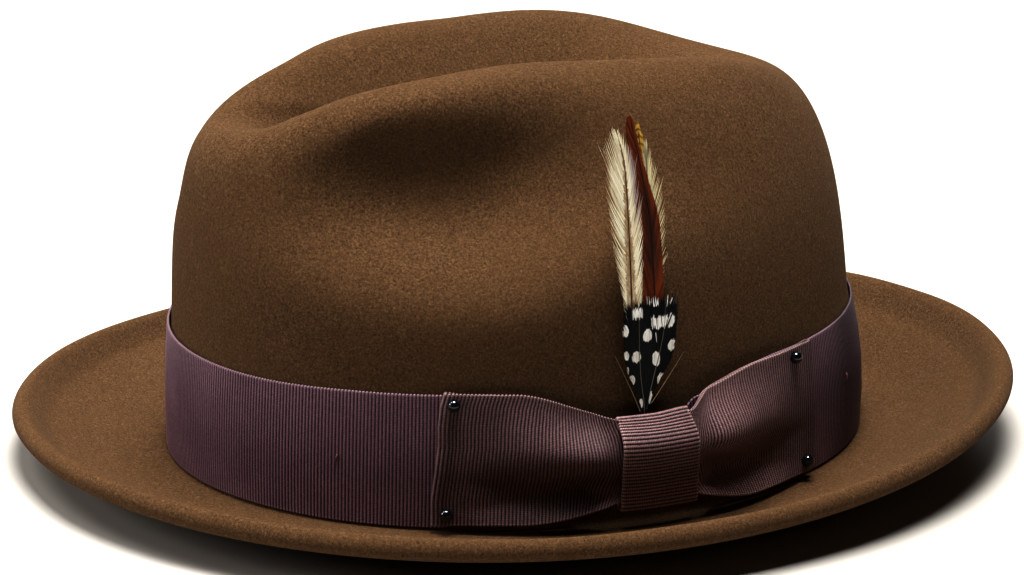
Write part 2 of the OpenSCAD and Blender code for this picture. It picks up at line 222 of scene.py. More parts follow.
def sheet_mesh(C, N, up, down, ci=False, cj=False):
    """A closed thin solid: C centre points (i, j), up and down distances along N."""
    n, m = C.shape[:2]
    top = C + N * up[..., None]
    bot = C - N * down[..., None]
    V = np.concatenate([top.reshape(-1, 3), bot.reshape(-1, 3)])
    F = [grid_faces(n, m, ci, cj), grid_faces(n, m, ci, cj, off=n * m, flip=True)]
    idx = np.arange(n * m).reshape(n, m)
    if not cj:
        for j, fl in ((0, False), (m - 1, True)):
            a = idx[:, j]
            b = np.roll(a, -1) if ci else a[1:]
            a = a if ci else a[:-1]
            q = np.stack([b, a, a + n * m, b + n * m], -1)
            F.append(q[:, ::-1] if fl else q)
    if not ci:
        for i, fl in ((0, True), (n - 1, False)):
            a = idx[i]
            b = a[1:] if not cj else np.roll(a, -1)
            a = a[:-1] if not cj else a
            q = np.stack([b, a, a + n * m, b + n * m], -1)
            F.append(q[:, ::-1] if fl else q)
    return V, np.concatenate(F)


# ---------------------------------------------------------------- node helpers for materials
class Mat:
    def __init__(self, name):
        self.m = bpy.data.materials.new(name)
        self.m.use_nodes = True
        self.t = self.m.node_tree
        self.p = self.t.nodes["Principled BSDF"]
        self.out = self.t.nodes["Material Output"]

    def n(self, kind, **kw):
        nd = self.t.nodes.new(kind)
        for k, v in kw.items():
            if k.startswith("i_"):
                key = k[2:].replace("_", " ")
                nd.inputs[int(key) if key.isdigit() else key].default_value = v
            else:
                setattr(nd, k, v)
        return nd

    def l(self, a, b):
        self.t.links.new(a, b)

    def set(self, **kw):
        for k, v in kw.items():
            key = k.replace("_", " ")
            if key in self.p.inputs:
                self.p.inputs[key].default_value = v
            else:
                raise KeyError(key)

    def math(self, op, a, b=None, c=None, clamp=False):
        nd = self.t.nodes.new("ShaderNodeMath")
        nd.operation = op
        nd.use_clamp = clamp
        for k, v in enumerate((a, b, c)):
            if v is None:
                continue
            if isinstance(v, (int, float)):
                nd.inputs[k].default_value = v
            else:
                self.l(v, nd.inputs[k])
        return nd.outputs[0]

    def coords(self):
        return self.n("ShaderNodeTexCoord").outputs["Object"]

    def scaled(self, vec, sx, sy, sz):
        nd = self.n("ShaderNodeVectorMath", operation="MULTIPLY")
        self.l(vec, nd.inputs[0])
        nd.inputs[1].default_value = (sx, sy, sz)
        return nd.outputs[0]

    def noise(self, vec, scale, detail=2.0, rough=0.5, dist=0.0):
        nd = self.n("ShaderNodeTexNoise", i_Scale=scale, i_Detail=detail, i_Roughness=rough, i_Distortion=dist)
        self.l(vec, nd.inputs["Vector"])
        return nd.outputs["Fac"]

    def attr(self, name, what="Fac"):
        return self.n("ShaderNodeAttribute", attribute_name=name).outputs[what]

    def ramp(self, fac, stops, interp="LINEAR"):
        nd = self.n("ShaderNodeValToRGB")
        nd.color_ramp.interpolation = interp
        while len(nd.color_ramp.elements) < len(stops):
            nd.color_ramp.elements.new(0.5)
        for e, (p, c) in zip(nd.color_ramp.elements, stops):
            e.position = p
            e.color = (*c, 1) if len(c) == 3 else c
        self.l(fac, nd.inputs[0])
        return nd.outputs["Color"]

    def mix(self, fac, a, b, kind="MIX"):
        nd = self.n("ShaderNodeMix", data_type="RGBA", blend_type=kind)
        for sock, v in ((nd.inputs[0], fac), (nd.inputs[6], a), (nd.inputs[7], b)):
            if isinstance(v, (int, float)):
                sock.default_value = v
            elif isinstance(v, tuple):
                sock.default_value = (*v, 1) if len(v) == 3 else v
            else:
                self.l(v, sock)
        return nd.outputs[2]

    def rng(self, fac, a, b, c, d):
        nd = self.n("ShaderNodeMapRange")
        self.l(fac, nd.inputs[0])
        for k, v in enumerate((a, b, c, d)):
            nd.inputs[k + 1].default_value = v
        return nd.outputs[0]

    def bump(self, height, strength, dist, prev=None):
        nd = self.n("ShaderNodeBump", i_Strength=strength, i_Distance=dist)
        self.l(height, nd.inputs["Height"])
        if prev is not None:
            self.l(prev, nd.inputs["Normal"])
        return nd.outputs[0]

    def col(self, c):
        if isinstance(c, tuple):
            self.p.inputs["Base Color"].default_value = (*c, 1)
        else:
            self.l(c, self.p.inputs["Base Color"])

    def nor(self, s):
        self.l(s, self.p.inputs["Normal"])


# ---------------------------------------------------------------- felt
def felt_material():
    M = Mat("wool_felt")
    co = M.coords()
    big = M.noise(co, 24, 3, 0.55)
    mid = M.noise(co, 260, 3, 0.6)
    fine = M.noise(co, 1500, 3, 0.7, 0.8)
    fib = M.noise(M.scaled(co, 1.0, 1.0, 2.2), 2600, 2, 0.65, 1.8)
    nap = M.noise(M.scaled(co, 1.6, 1.6, 0.8), 3800, 1, 0.5, 2.0)
    base = M.ramp(fine, [(0.30, (0.036, 0.0195, 0.0088)), (0.50, (0.112, 0.0630, 0.0300)), (0.70, (0.225, 0.133, 0.070))])
    c2 = M.mix(M.rng(mid, 0.35, 0.7, 0.0, 0.35), base, (0.086, 0.0445, 0.0185))
    c3 = M.mix(M.rng(big, 0.35, 0.7, 0.0, 0.30), c2, (0.132, 0.072, 0.032))
    c4 = M.mix(M.rng(fib, 0.58, 0.72, 0.0, 0.70), c3, (0.285, 0.185, 0.110))
    c5 = M.mix(M.rng(nap, 0.56, 0.74, 0.0, 0.60), c4, (0.040, 0.021, 0.009))
    M.col(c5)
    M.set(Roughness=0.93)
    M.p.inputs["Specular IOR Level"].default_value = 0.1
    M.set(Sheen_Weight=0.08, Sheen_Roughness=0.45, Sheen_Tint=(1.0, 0.74, 0.50, 1))
    h = M.math("ADD", M.math("MULTIPLY", fine, 0.7), M.math("MULTIPLY", fib, 0.5))
    n1 = M.bump(h, 0.85, 0.0006)
    n2 = M.bump(mid, 0.3, 0.0008, n1)
    M.nor(n2)
    return M.m


def build_felt(mat):
    NT = 384
    t = np.arange(NT) / NT * TAU
    T = t[:, None]
    rows = []
    # outer crown, from the centre down
    na = 96
    a0 = row_a(T, 44.0)
    js = np.arange(na - 1, -1, -1)[None, :] / na
    ang = a0 + (math.pi / 2 - a0) * js
    rows.append(crown(T, ang))
    zs = np.array([40, 36, 32, 28, 24, 20, 16, 12, 9, 7, 5.5, 4.6])[None, :]
    rows.append(wall(T, zs, 0))
    fil = np.radians(np.array([0, 22, 45, 68]))[None, :]
    rows.append(brim_pt(T, 1.3 - 1.3 * np.cos(fil) + 0 * T, ZB - 1.3 * np.sin(fil) + 0 * T))
    w = brim_out(T)
    o = 1.3 + (w - 16.2 - 1.3) * np.linspace(0, 1, 22)[None, :]
    rows.append(brim_pt(T, o, topz(T, o)))
    u = np.array([15.2, 14, 12.9, 11.9, 11, 10.2, 9.4, 8.6, 7.8, 7.0, 6.2, 5.4, 4.6, 3.9, 3.3])[None, :]
    o = w - u
    rows.append(brim_pt(T, o, topz(T, o)))
    b = np.radians(np.arange(12, 180, 12))[None, :]
    h = WELT / 2
    rows.append(brim_pt(T, w - h + h * np.sin(b), under(T, w - h) + h + h * np.cos(b)))
    u = np.array([3.3, 4.5, 6, 8, 10, 12.5, 15])[None, :]
    o = w - u
    rows.append(brim_pt(T, o, under(T, o)))
    o = (w - 17.2) * np.array([1, 0.92, 0.83, 0.74, 0.65, 0.56, 0.47, 0.39, 0.32, 0.21, 0.11, 0.02])[None, :]
    rows.append(brim_pt(T, o, under(T, o)))
    # inner wall and inner crown
    zs = np.array([0, 1, 5, 12, 22, 32, 41])[None, :]
    rows.append(wall(T, zs, -FELT_T))
    nb = 34
    a0 = row_a(T, 48.0)
    ang = a0 + (math.pi / 2 - a0) * (np.arange(nb)[None, :] / nb)
    d = 0.012
    nrm = np.cross(crown(T + d, ang) - crown(T - d, ang), crown(T, ang + d) - crown(T, ang - d))
    nrm /= np.maximum(np.linalg.norm(nrm, axis=-1, keepdims=True), 1e-9)
    rows.append(crown(T, ang) - FELT_T * nrm)
    P = np.concatenate(rows, axis=1)
    n, m = P.shape[:2]
    ncr = na + 12
    # slight unevenness of a hand-blocked felt, on the visible outside
    N = normals_of(P, ci=True)
    amp = np.zeros(m)
    amp[2:ncr - 12] = 0.22
    k = sum(r.shape[1] for r in rows[:3])
    amp[k:k + 22] = 0.16
    amp[k + 22:k + 48] = 0.22
    un = wob(P[..., 0] * 0.06 + P[..., 2] * 0.05, P[..., 1] * 0.06, 7, 7, 0.6, 2.2)
    P = P - N * (amp[None, :] * un)[..., None]
    top = crown(np.array(0.0), np.array(math.pi / 2))
    V = np.concatenate([P.reshape(-1, 3), top.reshape(1, 3), (top - [0, 0, FELT_T]).reshape(1, 3)])
    F = grid_faces(n, m, ci=True).tolist()
    i = np.arange(n)
    j = (i + 1) % n
    F += np.stack([np.full(n, n * m), j * m, i * m], -1).tolist()
    F += np.stack([np.full(n, n * m + 1), i * m + m - 1, j * m + m - 1], -1).tolist()
    return make("felt_hat", V, F, mat, node="felt_body")


# ---------------------------------------------------------------- grosgrain ribbon
RIB = 1.02
PH = np.array([0.0, 0.12, 0.34, 0.62, 0.86])
PHH = np.sqrt(np.clip(1 - (2 * PH - 1) ** 2, 0, 1))


def ribbon_material(name, lo, mid, hi, thread, blotch=0.35, painted_shade=None):
    """Grosgrain: pronounced grooves, light weft threads across the tops of the ribs; the grooves are coloured darker
    as painted shade.
    """
    M = Mat(name)
    co = M.coords()
    rib = M.attr("rib")
    acr = M.attr("across")
    jit = M.noise(co, 1500, 2, 0.5)
    ph = M.math("ADD", M.math("MULTIPLY", acr, TAU / 0.46), M.math("MULTIPLY", jit, 2.6))
    bead = M.rng(M.math("SINE", ph), -1.0, 1.0, 0.0, 1.0)
    # painted shade: the ramp colours the groove bottoms dark (lo) and the rib tops lighter (hi)
    c = M.ramp(rib, [(0.0, lo), (0.5, tuple(v * 0.28 for v in mid)), (0.78, mid), (0.97, hi)])
    c = M.mix(M.math("MULTIPLY", M.math("MULTIPLY", bead, rib), M.rng(jit, 0.35, 0.7, 0.25, 0.85)), c, thread)
    c = M.mix(M.rng(M.noise(co, 60, 3, 0.5), 0.3, 0.7, 0.0, blotch), c, tuple(v * 0.55 for v in mid))
    # the looped edge catches the light
    edge = M.attr("edge")
    c = M.mix(M.math("MULTIPLY", edge, M.rng(rib, 0.35, 0.85, 0.0, 0.6)), c, tuple(v * 0.8 for v in thread))
    if painted_shade:
        # painted shade: the colour is darkened towards the back (larger y, on the +x side), where the ribbon turns
        # away behind the bow
        xyz = M.n("ShaderNodeSeparateXYZ")
        M.l(co, xyz.inputs[0])
        f = M.math("MULTIPLY", M.rng(xyz.outputs[1], painted_shade[0], painted_shade[1], 0.0, painted_shade[2]), M.rng(xyz.outputs[0], 0.0, 0.035, 0.0, 1.0))
        c = M.mix(f, c, tuple(v * 0.3 for v in mid))
    M.col(c)
    M.set(Roughness=0.46)
    M.p.inputs["Specular IOR Level"].default_value = 0.30
    M.set(Sheen_Weight=0.06, Sheen_Roughness=0.3, Sheen_Tint=(0.8, 0.78, 1.0, 1))
    h = M.math("ADD", M.math("MULTIPLY", bead, 0.5), M.math("MULTIPLY", jit, 0.6))
    M.nor(M.bump(h, 0.55, 0.00016))
    return M.m


def edge_rows(width, step=2.4):
    e = [0, 0.07, 0.18, 0.34, 0.55, 0.85, 1.3]
    n = max(int(round((width - 2.6) / step)), 2)
    inner = list(np.linspace(1.3, width - 1.3, n + 1))[1:-1]
    return np.array(e + inner + [width - x for x in e[::-1]])


def rib_attrs(RH, W, d):
    e = 1 - ss((d - 0.25) / 0.75)
    r = RH.ravel()
    return {"rib": np.concatenate([r, r * 0.6 + 0.2]), "across": np.concatenate([W.ravel(), W.ravel()]), "edge": np.concatenate([e.ravel(), e.ravel()])}


def band_edges(T):
    """Lower and upper edge of the band; it is gathered behind the bow."""
    sn = np.sin(T)
    top = 41.3 + 0.8 * sn - 1.1 * ss((-sn - 0.75) / 0.25)
    bot = 3.0 + 0 * T
    td = (T - KT + math.pi) % TAU - math.pi
    q = np.abs(td) / math.radians(33)
    side = np.where(td < 0, -1, 1)
    h = 1 - ss((q - 0.86) / 0.12)
    z1 = np.where(side < 0, wing_z1(-1, q), wing_z1(1, q)) - 0.9 - 2.7 * (1 - ss((q - 0.25) / 0.6))
    z0 = np.where(side < 0, wing_z0(-1, q), wing_z0(1, q)) + 0.9
    return bot * (1 - h) + z0 * h, top * (1 - h) + np.minimum(z1, top) * h


def build_band(mat):
    dz = 38.3
    tt = np.linspace(0, TAU, 4001)
    P = wall(tt, 22, 0.9)
    s = np.concatenate([[0], np.cumsum(np.linalg.norm(np.diff(P, axis=0), axis=-1))])
    nr = int(round(s[-1] / RIB))
    pitch = s[-1] / nr
    sk = (np.arange(nr)[:, None] + PH[None, :]).ravel() * pitch
    hh = np.tile(PHH, nr)
    rows = edge_rows(dz, 9.0)
    S, W = np.meshgrid(sk, rows, indexing="ij")
    RH = np.repeat(hh[:, None], len(rows), 1)
    Sj = S + 0.10 * wob(S * 0.05, W * 0.12, 3, 5, 0.6, 2.0) * ss(W / 3)
    T = np.interp(Sj % s[-1], s, tt)
    d = np.minimum(W, dz - W)
    cut = 0.62 * (1 - RH) * np.exp(-(d / 0.55))
    Wc = W + np.where(W < dz / 2, cut, -cut)
    f = Wc / dz
    z0, top = band_edges(T)
    Z = z0 + (top - z0) * f + 0.12 * wob(T * 6, 0 * T, 5, 4)
    ht = 0.25 * np.sqrt(np.clip(1 - (1 - np.clip(d / 0.34, 0, 1)) ** 2, 0.02, 1))
    lift = 0.10 * wob(T * 5, W * 0.08, 9, 5, 0.7, 2.4)
    C = wall(T, Z, 0.62 + np.clip(lift, -0.2, 0.2))
    N = enorm(T)
    rb = 0.27 * RH * np.clip(d / 0.15 + 0.25, 0, 1)
    V, F = sheet_mesh(C, N, ht + rb, ht * 0.6, ci=True)
    at = rib_attrs(RH, W, d)
    return make("band_ribbon", V, F, mat, node="hat_band", attrs=at)


# ---------------------------------------------------------------- bow
KT = math.radians(-2.6)


def wing_t(side, q):
    return KT + side * (math.radians(0.35) + math.radians(32.6 if side < 0 else 33.0) * q)


def fold_lean(side, q, f):
    """The front end of the bow leans back towards its top corner; angle in radians."""
    mm = np.interp(f, [0, 0.2, 0.4, 0.6, 0.75, 0.9, 1.0], [-0.6, -0.6, 0.3, 1.0, 0.9, 1.3, 2.2])
    return (0 if side > 0 else 1.0) * mm / 92.0 * ss((q - 0.35) / 0.65)


def wing_z0(side, q):
    return (11.6 - 5.0 * ss(q / 0.6) - 2.3 * q) if side < 0 else (11.4 - 5.0 * ss(q / 0.55) - 1.9 * q)


def wing_z1(side, q):
    if side < 0:
        return 33.2 + 8.8 * ss((q - 0.06) / 0.6)
    return 33.2 + 0.8 * ss(q / 0.12) + 3.9 * ss((q - 0.155) / 0.11) + 4.7 * ss((q - 0.15) / 0.45)


def face_o(side, q, f):
    m = 1 - ss((q - 0.25) / 0.75)
    out = ss((q - 0.17) / 0.12)
    top = 1 - (0.30 + 0.36 * out) * ss((f - 0.56) / 0.44)
    v = np.exp(-((f - 0.23) / 0.16) ** 2)
    puff = 2.3 * out * np.exp(-((q - 0.32) / 0.25) ** 2) * np.exp(-((f - 0.57) / np.where(f < 0.57, 0.14, 0.2)) ** 2)
    tuck = 1.5 * (1 - ss(f / 0.35)) * (1 - ss((q - 0.15) / 0.1))
    dip = 5.2 * m ** 0.7 * v * ss(q / 0.12) * (0.30 + 0.70 * ss((q - 0.1) / 0.2))
    return np.maximum(2.75, 2.75 + 5.55 * m * top + puff - tuck - dip + 0.5 * np.sin(math.pi * q) * (1 - v))


def back_o(q):
    return 5.55 - 3.95 * ss((q - 0.2) / 0.16)


def back_z(z0, z1, f, gap):
    """The back layer is a little narrower, so that it stays hidden."""
    return z0 + 0.8 + (z1 - z0 - 1.4 - 0.30 * gap) * f


def build_wing(name, side, mat, node):
    width = 37.5
    rows = edge_rows(width, 1.25)
    nq = 240
    lines = []
    for w in rows:
        f = w / width
        q = np.linspace(0, 1, nq)
        z0, z1 = wing_z0(side, q), wing_z1(side, q)
        z = z0 + (z1 - z0) * f
        bo = back_o(q) + 0.25
        fo = np.maximum(face_o(side, q, f) - 0.3 + 0.35, bo + 0.75)
        fo = fo + (0.55 if side < 0 else 0.25) * np.exp(-((q - 0.985) / 0.03) ** 2) * (0.55 + 0.45 * math.sin(math.pi * f))
        tq = wing_t(side, q) + fold_lean(side, q, f)
        gap = np.maximum(face_o(side, q, 0.9) - bo, 0) * (1 - ss((q - 0.9) / 0.1))
        k = 1 - ss((q - 0.9) / 0.1)
        zb = back_z(z0, z1, f, gap) * k + z * (1 - k)
        back = wall(tq, zb, bo)
        face = wall(tq, z, fo)
        rr = (fo[-1] - bo[-1]) / 2
        mid = (fo[-1] + bo[-1]) / 2
        te = tq[-1]
        tang = wall(te + side * 0.01, z[-1], mid) - wall(te - side * 0.01, z[-1], mid)
        tang /= np.linalg.norm(tang)
        be = np.radians(np.linspace(-90, 90, 13))[1:-1]
        fold = wall(te, z[-1], mid + rr * np.sin(be)) + tang[None, :] * (rr * 1.15 * np.cos(be))[:, None]
        line = np.concatenate([back, fold, face[::-1]])
        lines.append(line)
    L = np.stack(lines, 1)  # along, across
    mid_i = nq + 5
    d = np.diff(L, axis=0)
    # ribs stay square to the edges: where the edge dips, the ribs fan
    ex = 1.0 + np.zeros(L.shape[1])
    seg = np.sqrt(d[..., 0] ** 2 + d[..., 1] ** 2 + (2.6 * d[..., 2]) ** 2)
    s = np.concatenate([np.zeros((1, L.shape[1])), np.cumsum(seg, 0)])
    s = s - s[mid_i:mid_i + 1]
    s_lo, s_hi = s[0].max(), s[-1].min()
    k0, k1 = int(math.ceil(s_lo / RIB)), int(math.floor(s_hi / RIB))
    sk = (np.arange(k0, k1)[:, None] + PH[None, :]).ravel() * RIB
    hh = np.tile(PHH, k1 - k0)
    n, m = len(sk), len(rows)
    C = np.zeros((n, m, 3))
    for j in range(m):
        skj = sk + 0.08 * wob(sk * 0.05, rows[j] * 0.15 + 0 * sk, 21 + side, 5)
        for a in range(3):
            C[:, j, a] = np.interp(skj, s[:, j], L[:, j, a])
    N = normals_of(C)
    ref = enorm(np.arctan2(C[..., 1] / B, C[..., 0] / A))
    face_side = np.where(sk[:, None] > 0, 1.0, -1.0) * np.ones((1, m))
    dot = (N * ref).sum(-1)
    if (dot * face_side).mean() < 0:
        N = -N
        flip = True
    else:
        flip = False
    W = np.repeat(rows[None, :], n, 0)
    RH = np.repeat(hh[:, None], m, 1)
    dd = np.minimum(W, width - W)
    # looped edges
    e = C[:, -1] - C[:, 0]
    e /= np.linalg.norm(e, axis=-1, keepdims=True)
    cut = 0.66 * (1 - RH) * np.exp(-(dd / 0.55)) * np.where(W < width / 2, 1, -1)
    C = C + e[:, None, :] * cut[..., None]
    ht = 0.25 * np.sqrt(np.clip(1 - (1 - np.clip(dd / 0.34, 0, 1)) ** 2, 0.02, 1))
    rb = 0.33 * RH * np.clip(dd / 0.15 + 0.25, 0, 1)
    V, F = sheet_mesh(C, N, ht + rb, ht)
    if flip:
        F = F[:, ::-1]
    at = rib_attrs(RH, W, dd)
    return make(name, V, F, mat, node=node, attrs=at)


def spline_closed(pts, n):
    pts = np.asarray(pts, float)
    k = len(pts)
    out = []
    for i in range(k):
        p0, p1, p2, p3 = (pts[(i + d) % k] for d in (-1, 0, 1, 2))
        u = np.linspace(0, 1, n, endpoint=False)[:, None]
        out.append(0.5 * ((2 * p1) + (-p0 + p2) * u + (2 * p0 - 5 * p1 + 4 * p2 - p3) * u ** 2 + (-p0 + 3 * p1 - 3 * p2 + p3) * u ** 3))
    return np.concatenate(out)


def build_knot(mat):
    path = spline_closed([(4.9, 9.9), (5.4, 8.6), (6.6, 8.1), (7.6, 8.8), (8.3, 12), (9.2, 16.5), (10.2, 21), (11.1, 25.2), (11.0, 27.9),
                          (9.7, 30.5), (7.9, 33.0), (6.6, 35.0), (5.8, 35.6), (5.2, 34.6), (4.85, 32), (4.85, 22), (4.85, 13)], 24)
    d = np.linalg.norm(np.roll(path, -1, 0) - path, axis=-1)
    s = np.concatenate([[0], np.cumsum(d)])
    pc = np.concatenate([path, path[:1]])
    nr = int(round(s[-1] / 1.07))
    pitch = s[-1] / nr
    sk = (np.arange(nr)[:, None] + PH[None, :]).ravel() * pitch
    hh = np.tile(PHH, nr)
    po, pz = np.interp(sk, s, pc[:, 0]), np.interp(sk, s, pc[:, 1])
    width = 21.0
    rows = np.array([0, 0.07, 0.18, 0.34, 0.6, 1.0, 1.6] + list(np.linspace(2.6, width - 2.6, 14)) + [width - x for x in (1.6, 1.0, 0.6, 0.34, 0.18, 0.07, 0)])
    v = rows / width  # 0 front, 1 rear
    n, m = len(sk), len(rows)
    zf = (pz - 8) / 28
    # front side: edge angles of the strip, narrower towards the bottom, tipped a little
    half = 6.15 - 0.35 * zf
    T = KT + np.radians((2 * v[None, :] - 1) * half[:, None] + 0.9 * (1 - zf)[:, None] - 0.35)
    crown_ = 1 - (2 * v - 1) ** 4
    frontness = np.clip((po - 5.2) / 3.5, 0, 1)
    O = po[:, None] - 0.0 + frontness[:, None] * (0.55 * crown_[None, :] - 0.25)
    topn = np.clip((pz - 30) / 6, 0, 1)
    Z = pz[:, None] + topn[:, None] * (0.7 * ss((v - 0.5) / 0.45) - 2.0)[None, :] + 0.25 * wob(v[None, :] * 5, pz[:, None] * 0.15, 31, 5) * frontness[:, None]
    C = wall(T, Z, O)
    N = normals_of(C, ci=True)
    ref = enorm(T)
    fr = frontness > 0.9
    if (N * ref).sum(-1)[fr].mean() < 0:
        N = -N
        flip = True
    else:
        flip = False
    W = np.repeat(rows[None, :], n, 0)
    RH = np.repeat(hh[:, None], m, 1)
    dd = np.minimum(W, width - W)
    ht = 0.33 * np.sqrt(np.clip(1 - (1 - np.clip(dd / 0.5, 0, 1)) ** 2, 0.02, 1))
    rb = 0.33 * RH * np.clip(dd / 0.2 + 0.3, 0, 1)
    V, F = sheet_mesh(C, N, ht + rb, ht, ci=True)
    if flip:
        F = F[:, ::-1]
    at = rib_attrs(RH, W, dd)
    return make("knot_wrap", V, F, mat, node="bow_knot", attrs=at)


# ---------------------------------------------------------------- pins
def uv_sphere(c, r, n=40, m=24):
    V, F = [], []
    th = np.arange(n) / n * TAU
    ph = np.linspace(0, math.pi, m + 1)[1:-1]
    for p in ph:
        for a in th:
            V.append([r * math.sin(p) * math.cos(a), r * math.sin(p) * math.sin(a), r * math.cos(p)])
    V = np.array(V) + c
    k = len(ph)
    F = [[i * n + j, (i + 1) * n + j, (i + 1) * n + (j + 1) % n, i * n + (j + 1) % n] for i in range(k - 1) for j in range(n)]
    a, b = len(V), len(V) + 1
    V = np.concatenate([V, [c + np.array([0, 0, r])], [c - np.array([0, 0, r])]])
    F += [[a, j, (j + 1) % n] for j in range(n)]
    F += [[b, (k - 1) * n + (j + 1) % n, (k - 1) * n + j] for j in range(n)]
    return V, F


def join(parts):
    V, F, off = [], [], 0
    for v, f in parts:
        V.append(v)
        F += [[x + off for x in q] for q in (f.tolist() if isinstance(f, np.ndarray) else f)]
        off += len(v)
    return np.concatenate(V), F


def tube(P, R, k=10, cap=True):
    P = np.asarray(P, float)
    R = np.broadcast_to(R, (len(P),))
    T = np.gradient(P, axis=0)
    T /= np.linalg.norm(T, axis=-1, keepdims=True)
    up = np.array([0, 0, 1.0]) if abs(T[0][2]) < 0.9 else np.array([0, 1.0, 0])
    V = []
    x = np.cross(up, T[0])
    x /= np.linalg.norm(x)
    for p, t, r in zip(P, T, R):
        x = x - t * (x @ t)
        x /= np.linalg.norm(x)
        y = np.cross(t, x)
        a = np.arange(k) / k * TAU
        V.append(p + r * (np.cos(a)[:, None] * x + np.sin(a)[:, None] * y))
    V = np.concatenate(V)
    n = len(P)
    F = [[i * k + j, i * k + (j + 1) % k, (i + 1) * k + (j + 1) % k, (i + 1) * k + j] for i in range(n - 1) for j in range(k)]
    if cap:
        F.append([j for j in range(k)][::-1])
        F.append([(n - 1) * k + j for j in range(k)])
    return V, F


PINS = [(-1, 0.927, 39.0), (-1, 0.955, 8.0), (1, 0.855, 39.9), (1, 0.94, 8.4)]


def pin_centre(p):
    side, q, z = p
    f = (z - wing_z0(side, q)) / (wing_z1(side, q) - wing_z0(side, q))
    return wing_t(side, np.array(q)), z, float(face_o(side, q, f)) + 1.8 * 0.82


def build_pins(mat_head, mat_steel):
    heads, shanks = [], []
    for p in PINS:
        t, z, o = pin_centre(p)
        c = wall(t, z, o)
        v = enorm(t)
        heads.append(uv_sphere(c, 1.8))
        tan = np.array([-v[1], v[0], 0]) * p[0]
        d = -v * 0.72 - tan * 0.69
        d /= np.linalg.norm(d)
        shanks.append(tube([c + d * 1.4, c + d * 2.4, c + d * 3.6, c + d * 5.0], [0.3, 0.3, 0.3, 0.2], 12))
    V, F = join(heads)
    make("pin_balls", V, F, mat_head, node="pin_heads")
    V, F = join(shanks)
    make("pin_wires", V, F, mat_steel, node="pin_shanks")


# ---------------------------------------------------------------- feathers
FX = 87.68


def fp(y, z, o):
    y, z, o = np.broadcast_arrays(np.asarray(y, float), np.asarray(z, float), np.asarray(o, float))
    k = 0.34 + 0.56 * ss((z - 38) / 22)
    return np.stack([FX + o * k - 0.085 * np.clip(z - 38, 0, None), y, z], -1)


def smooth_curve(pts, n):
    pts = np.asarray(pts, float)
    p = np.concatenate([2 * pts[:1] - pts[1:2], pts, 2 * pts[-1:] - pts[-2:-1]])
    out = []
    for i in range(1, len(p) - 2):
        u = np.linspace(0, 1, n, endpoint=False)[:, None]
        p0, p1, p2, p3 = p[i - 1], p[i], p[i + 1], p[i + 2]
        out.append(0.5 * ((2 * p1) + (-p0 + p2) * u + (2 * p0 - 5 * p1 + 4 * p2 - p3) * u ** 2 + (-p0 + 3 * p1 - 3 * p2 + p3) * u ** 3))
    out.append(p[-2:-1])
    return np.concatenate(out)


def barb(pts, width, thick, side_dir, nrm):
    """A closed tapered blade through pts with a diamond section."""
    n = len(pts)
    V = []
    for p, w, th in zip(pts, width, thick):
        V += [p - side_dir * w / 2, p + nrm * th / 2, p + side_dir * w / 2, p - nrm * th / 2]
    F = [[i * 4 + j, i * 4 + (j + 1) % 4, (i + 1) * 4 + (j + 1) % 4, (i + 1) * 4 + j] for i in range(n - 1) for j in range(4)]
    F += [[3, 2, 1, 0], [(n - 1) * 4 + k for k in range(4)]]
    return np.array(V), F


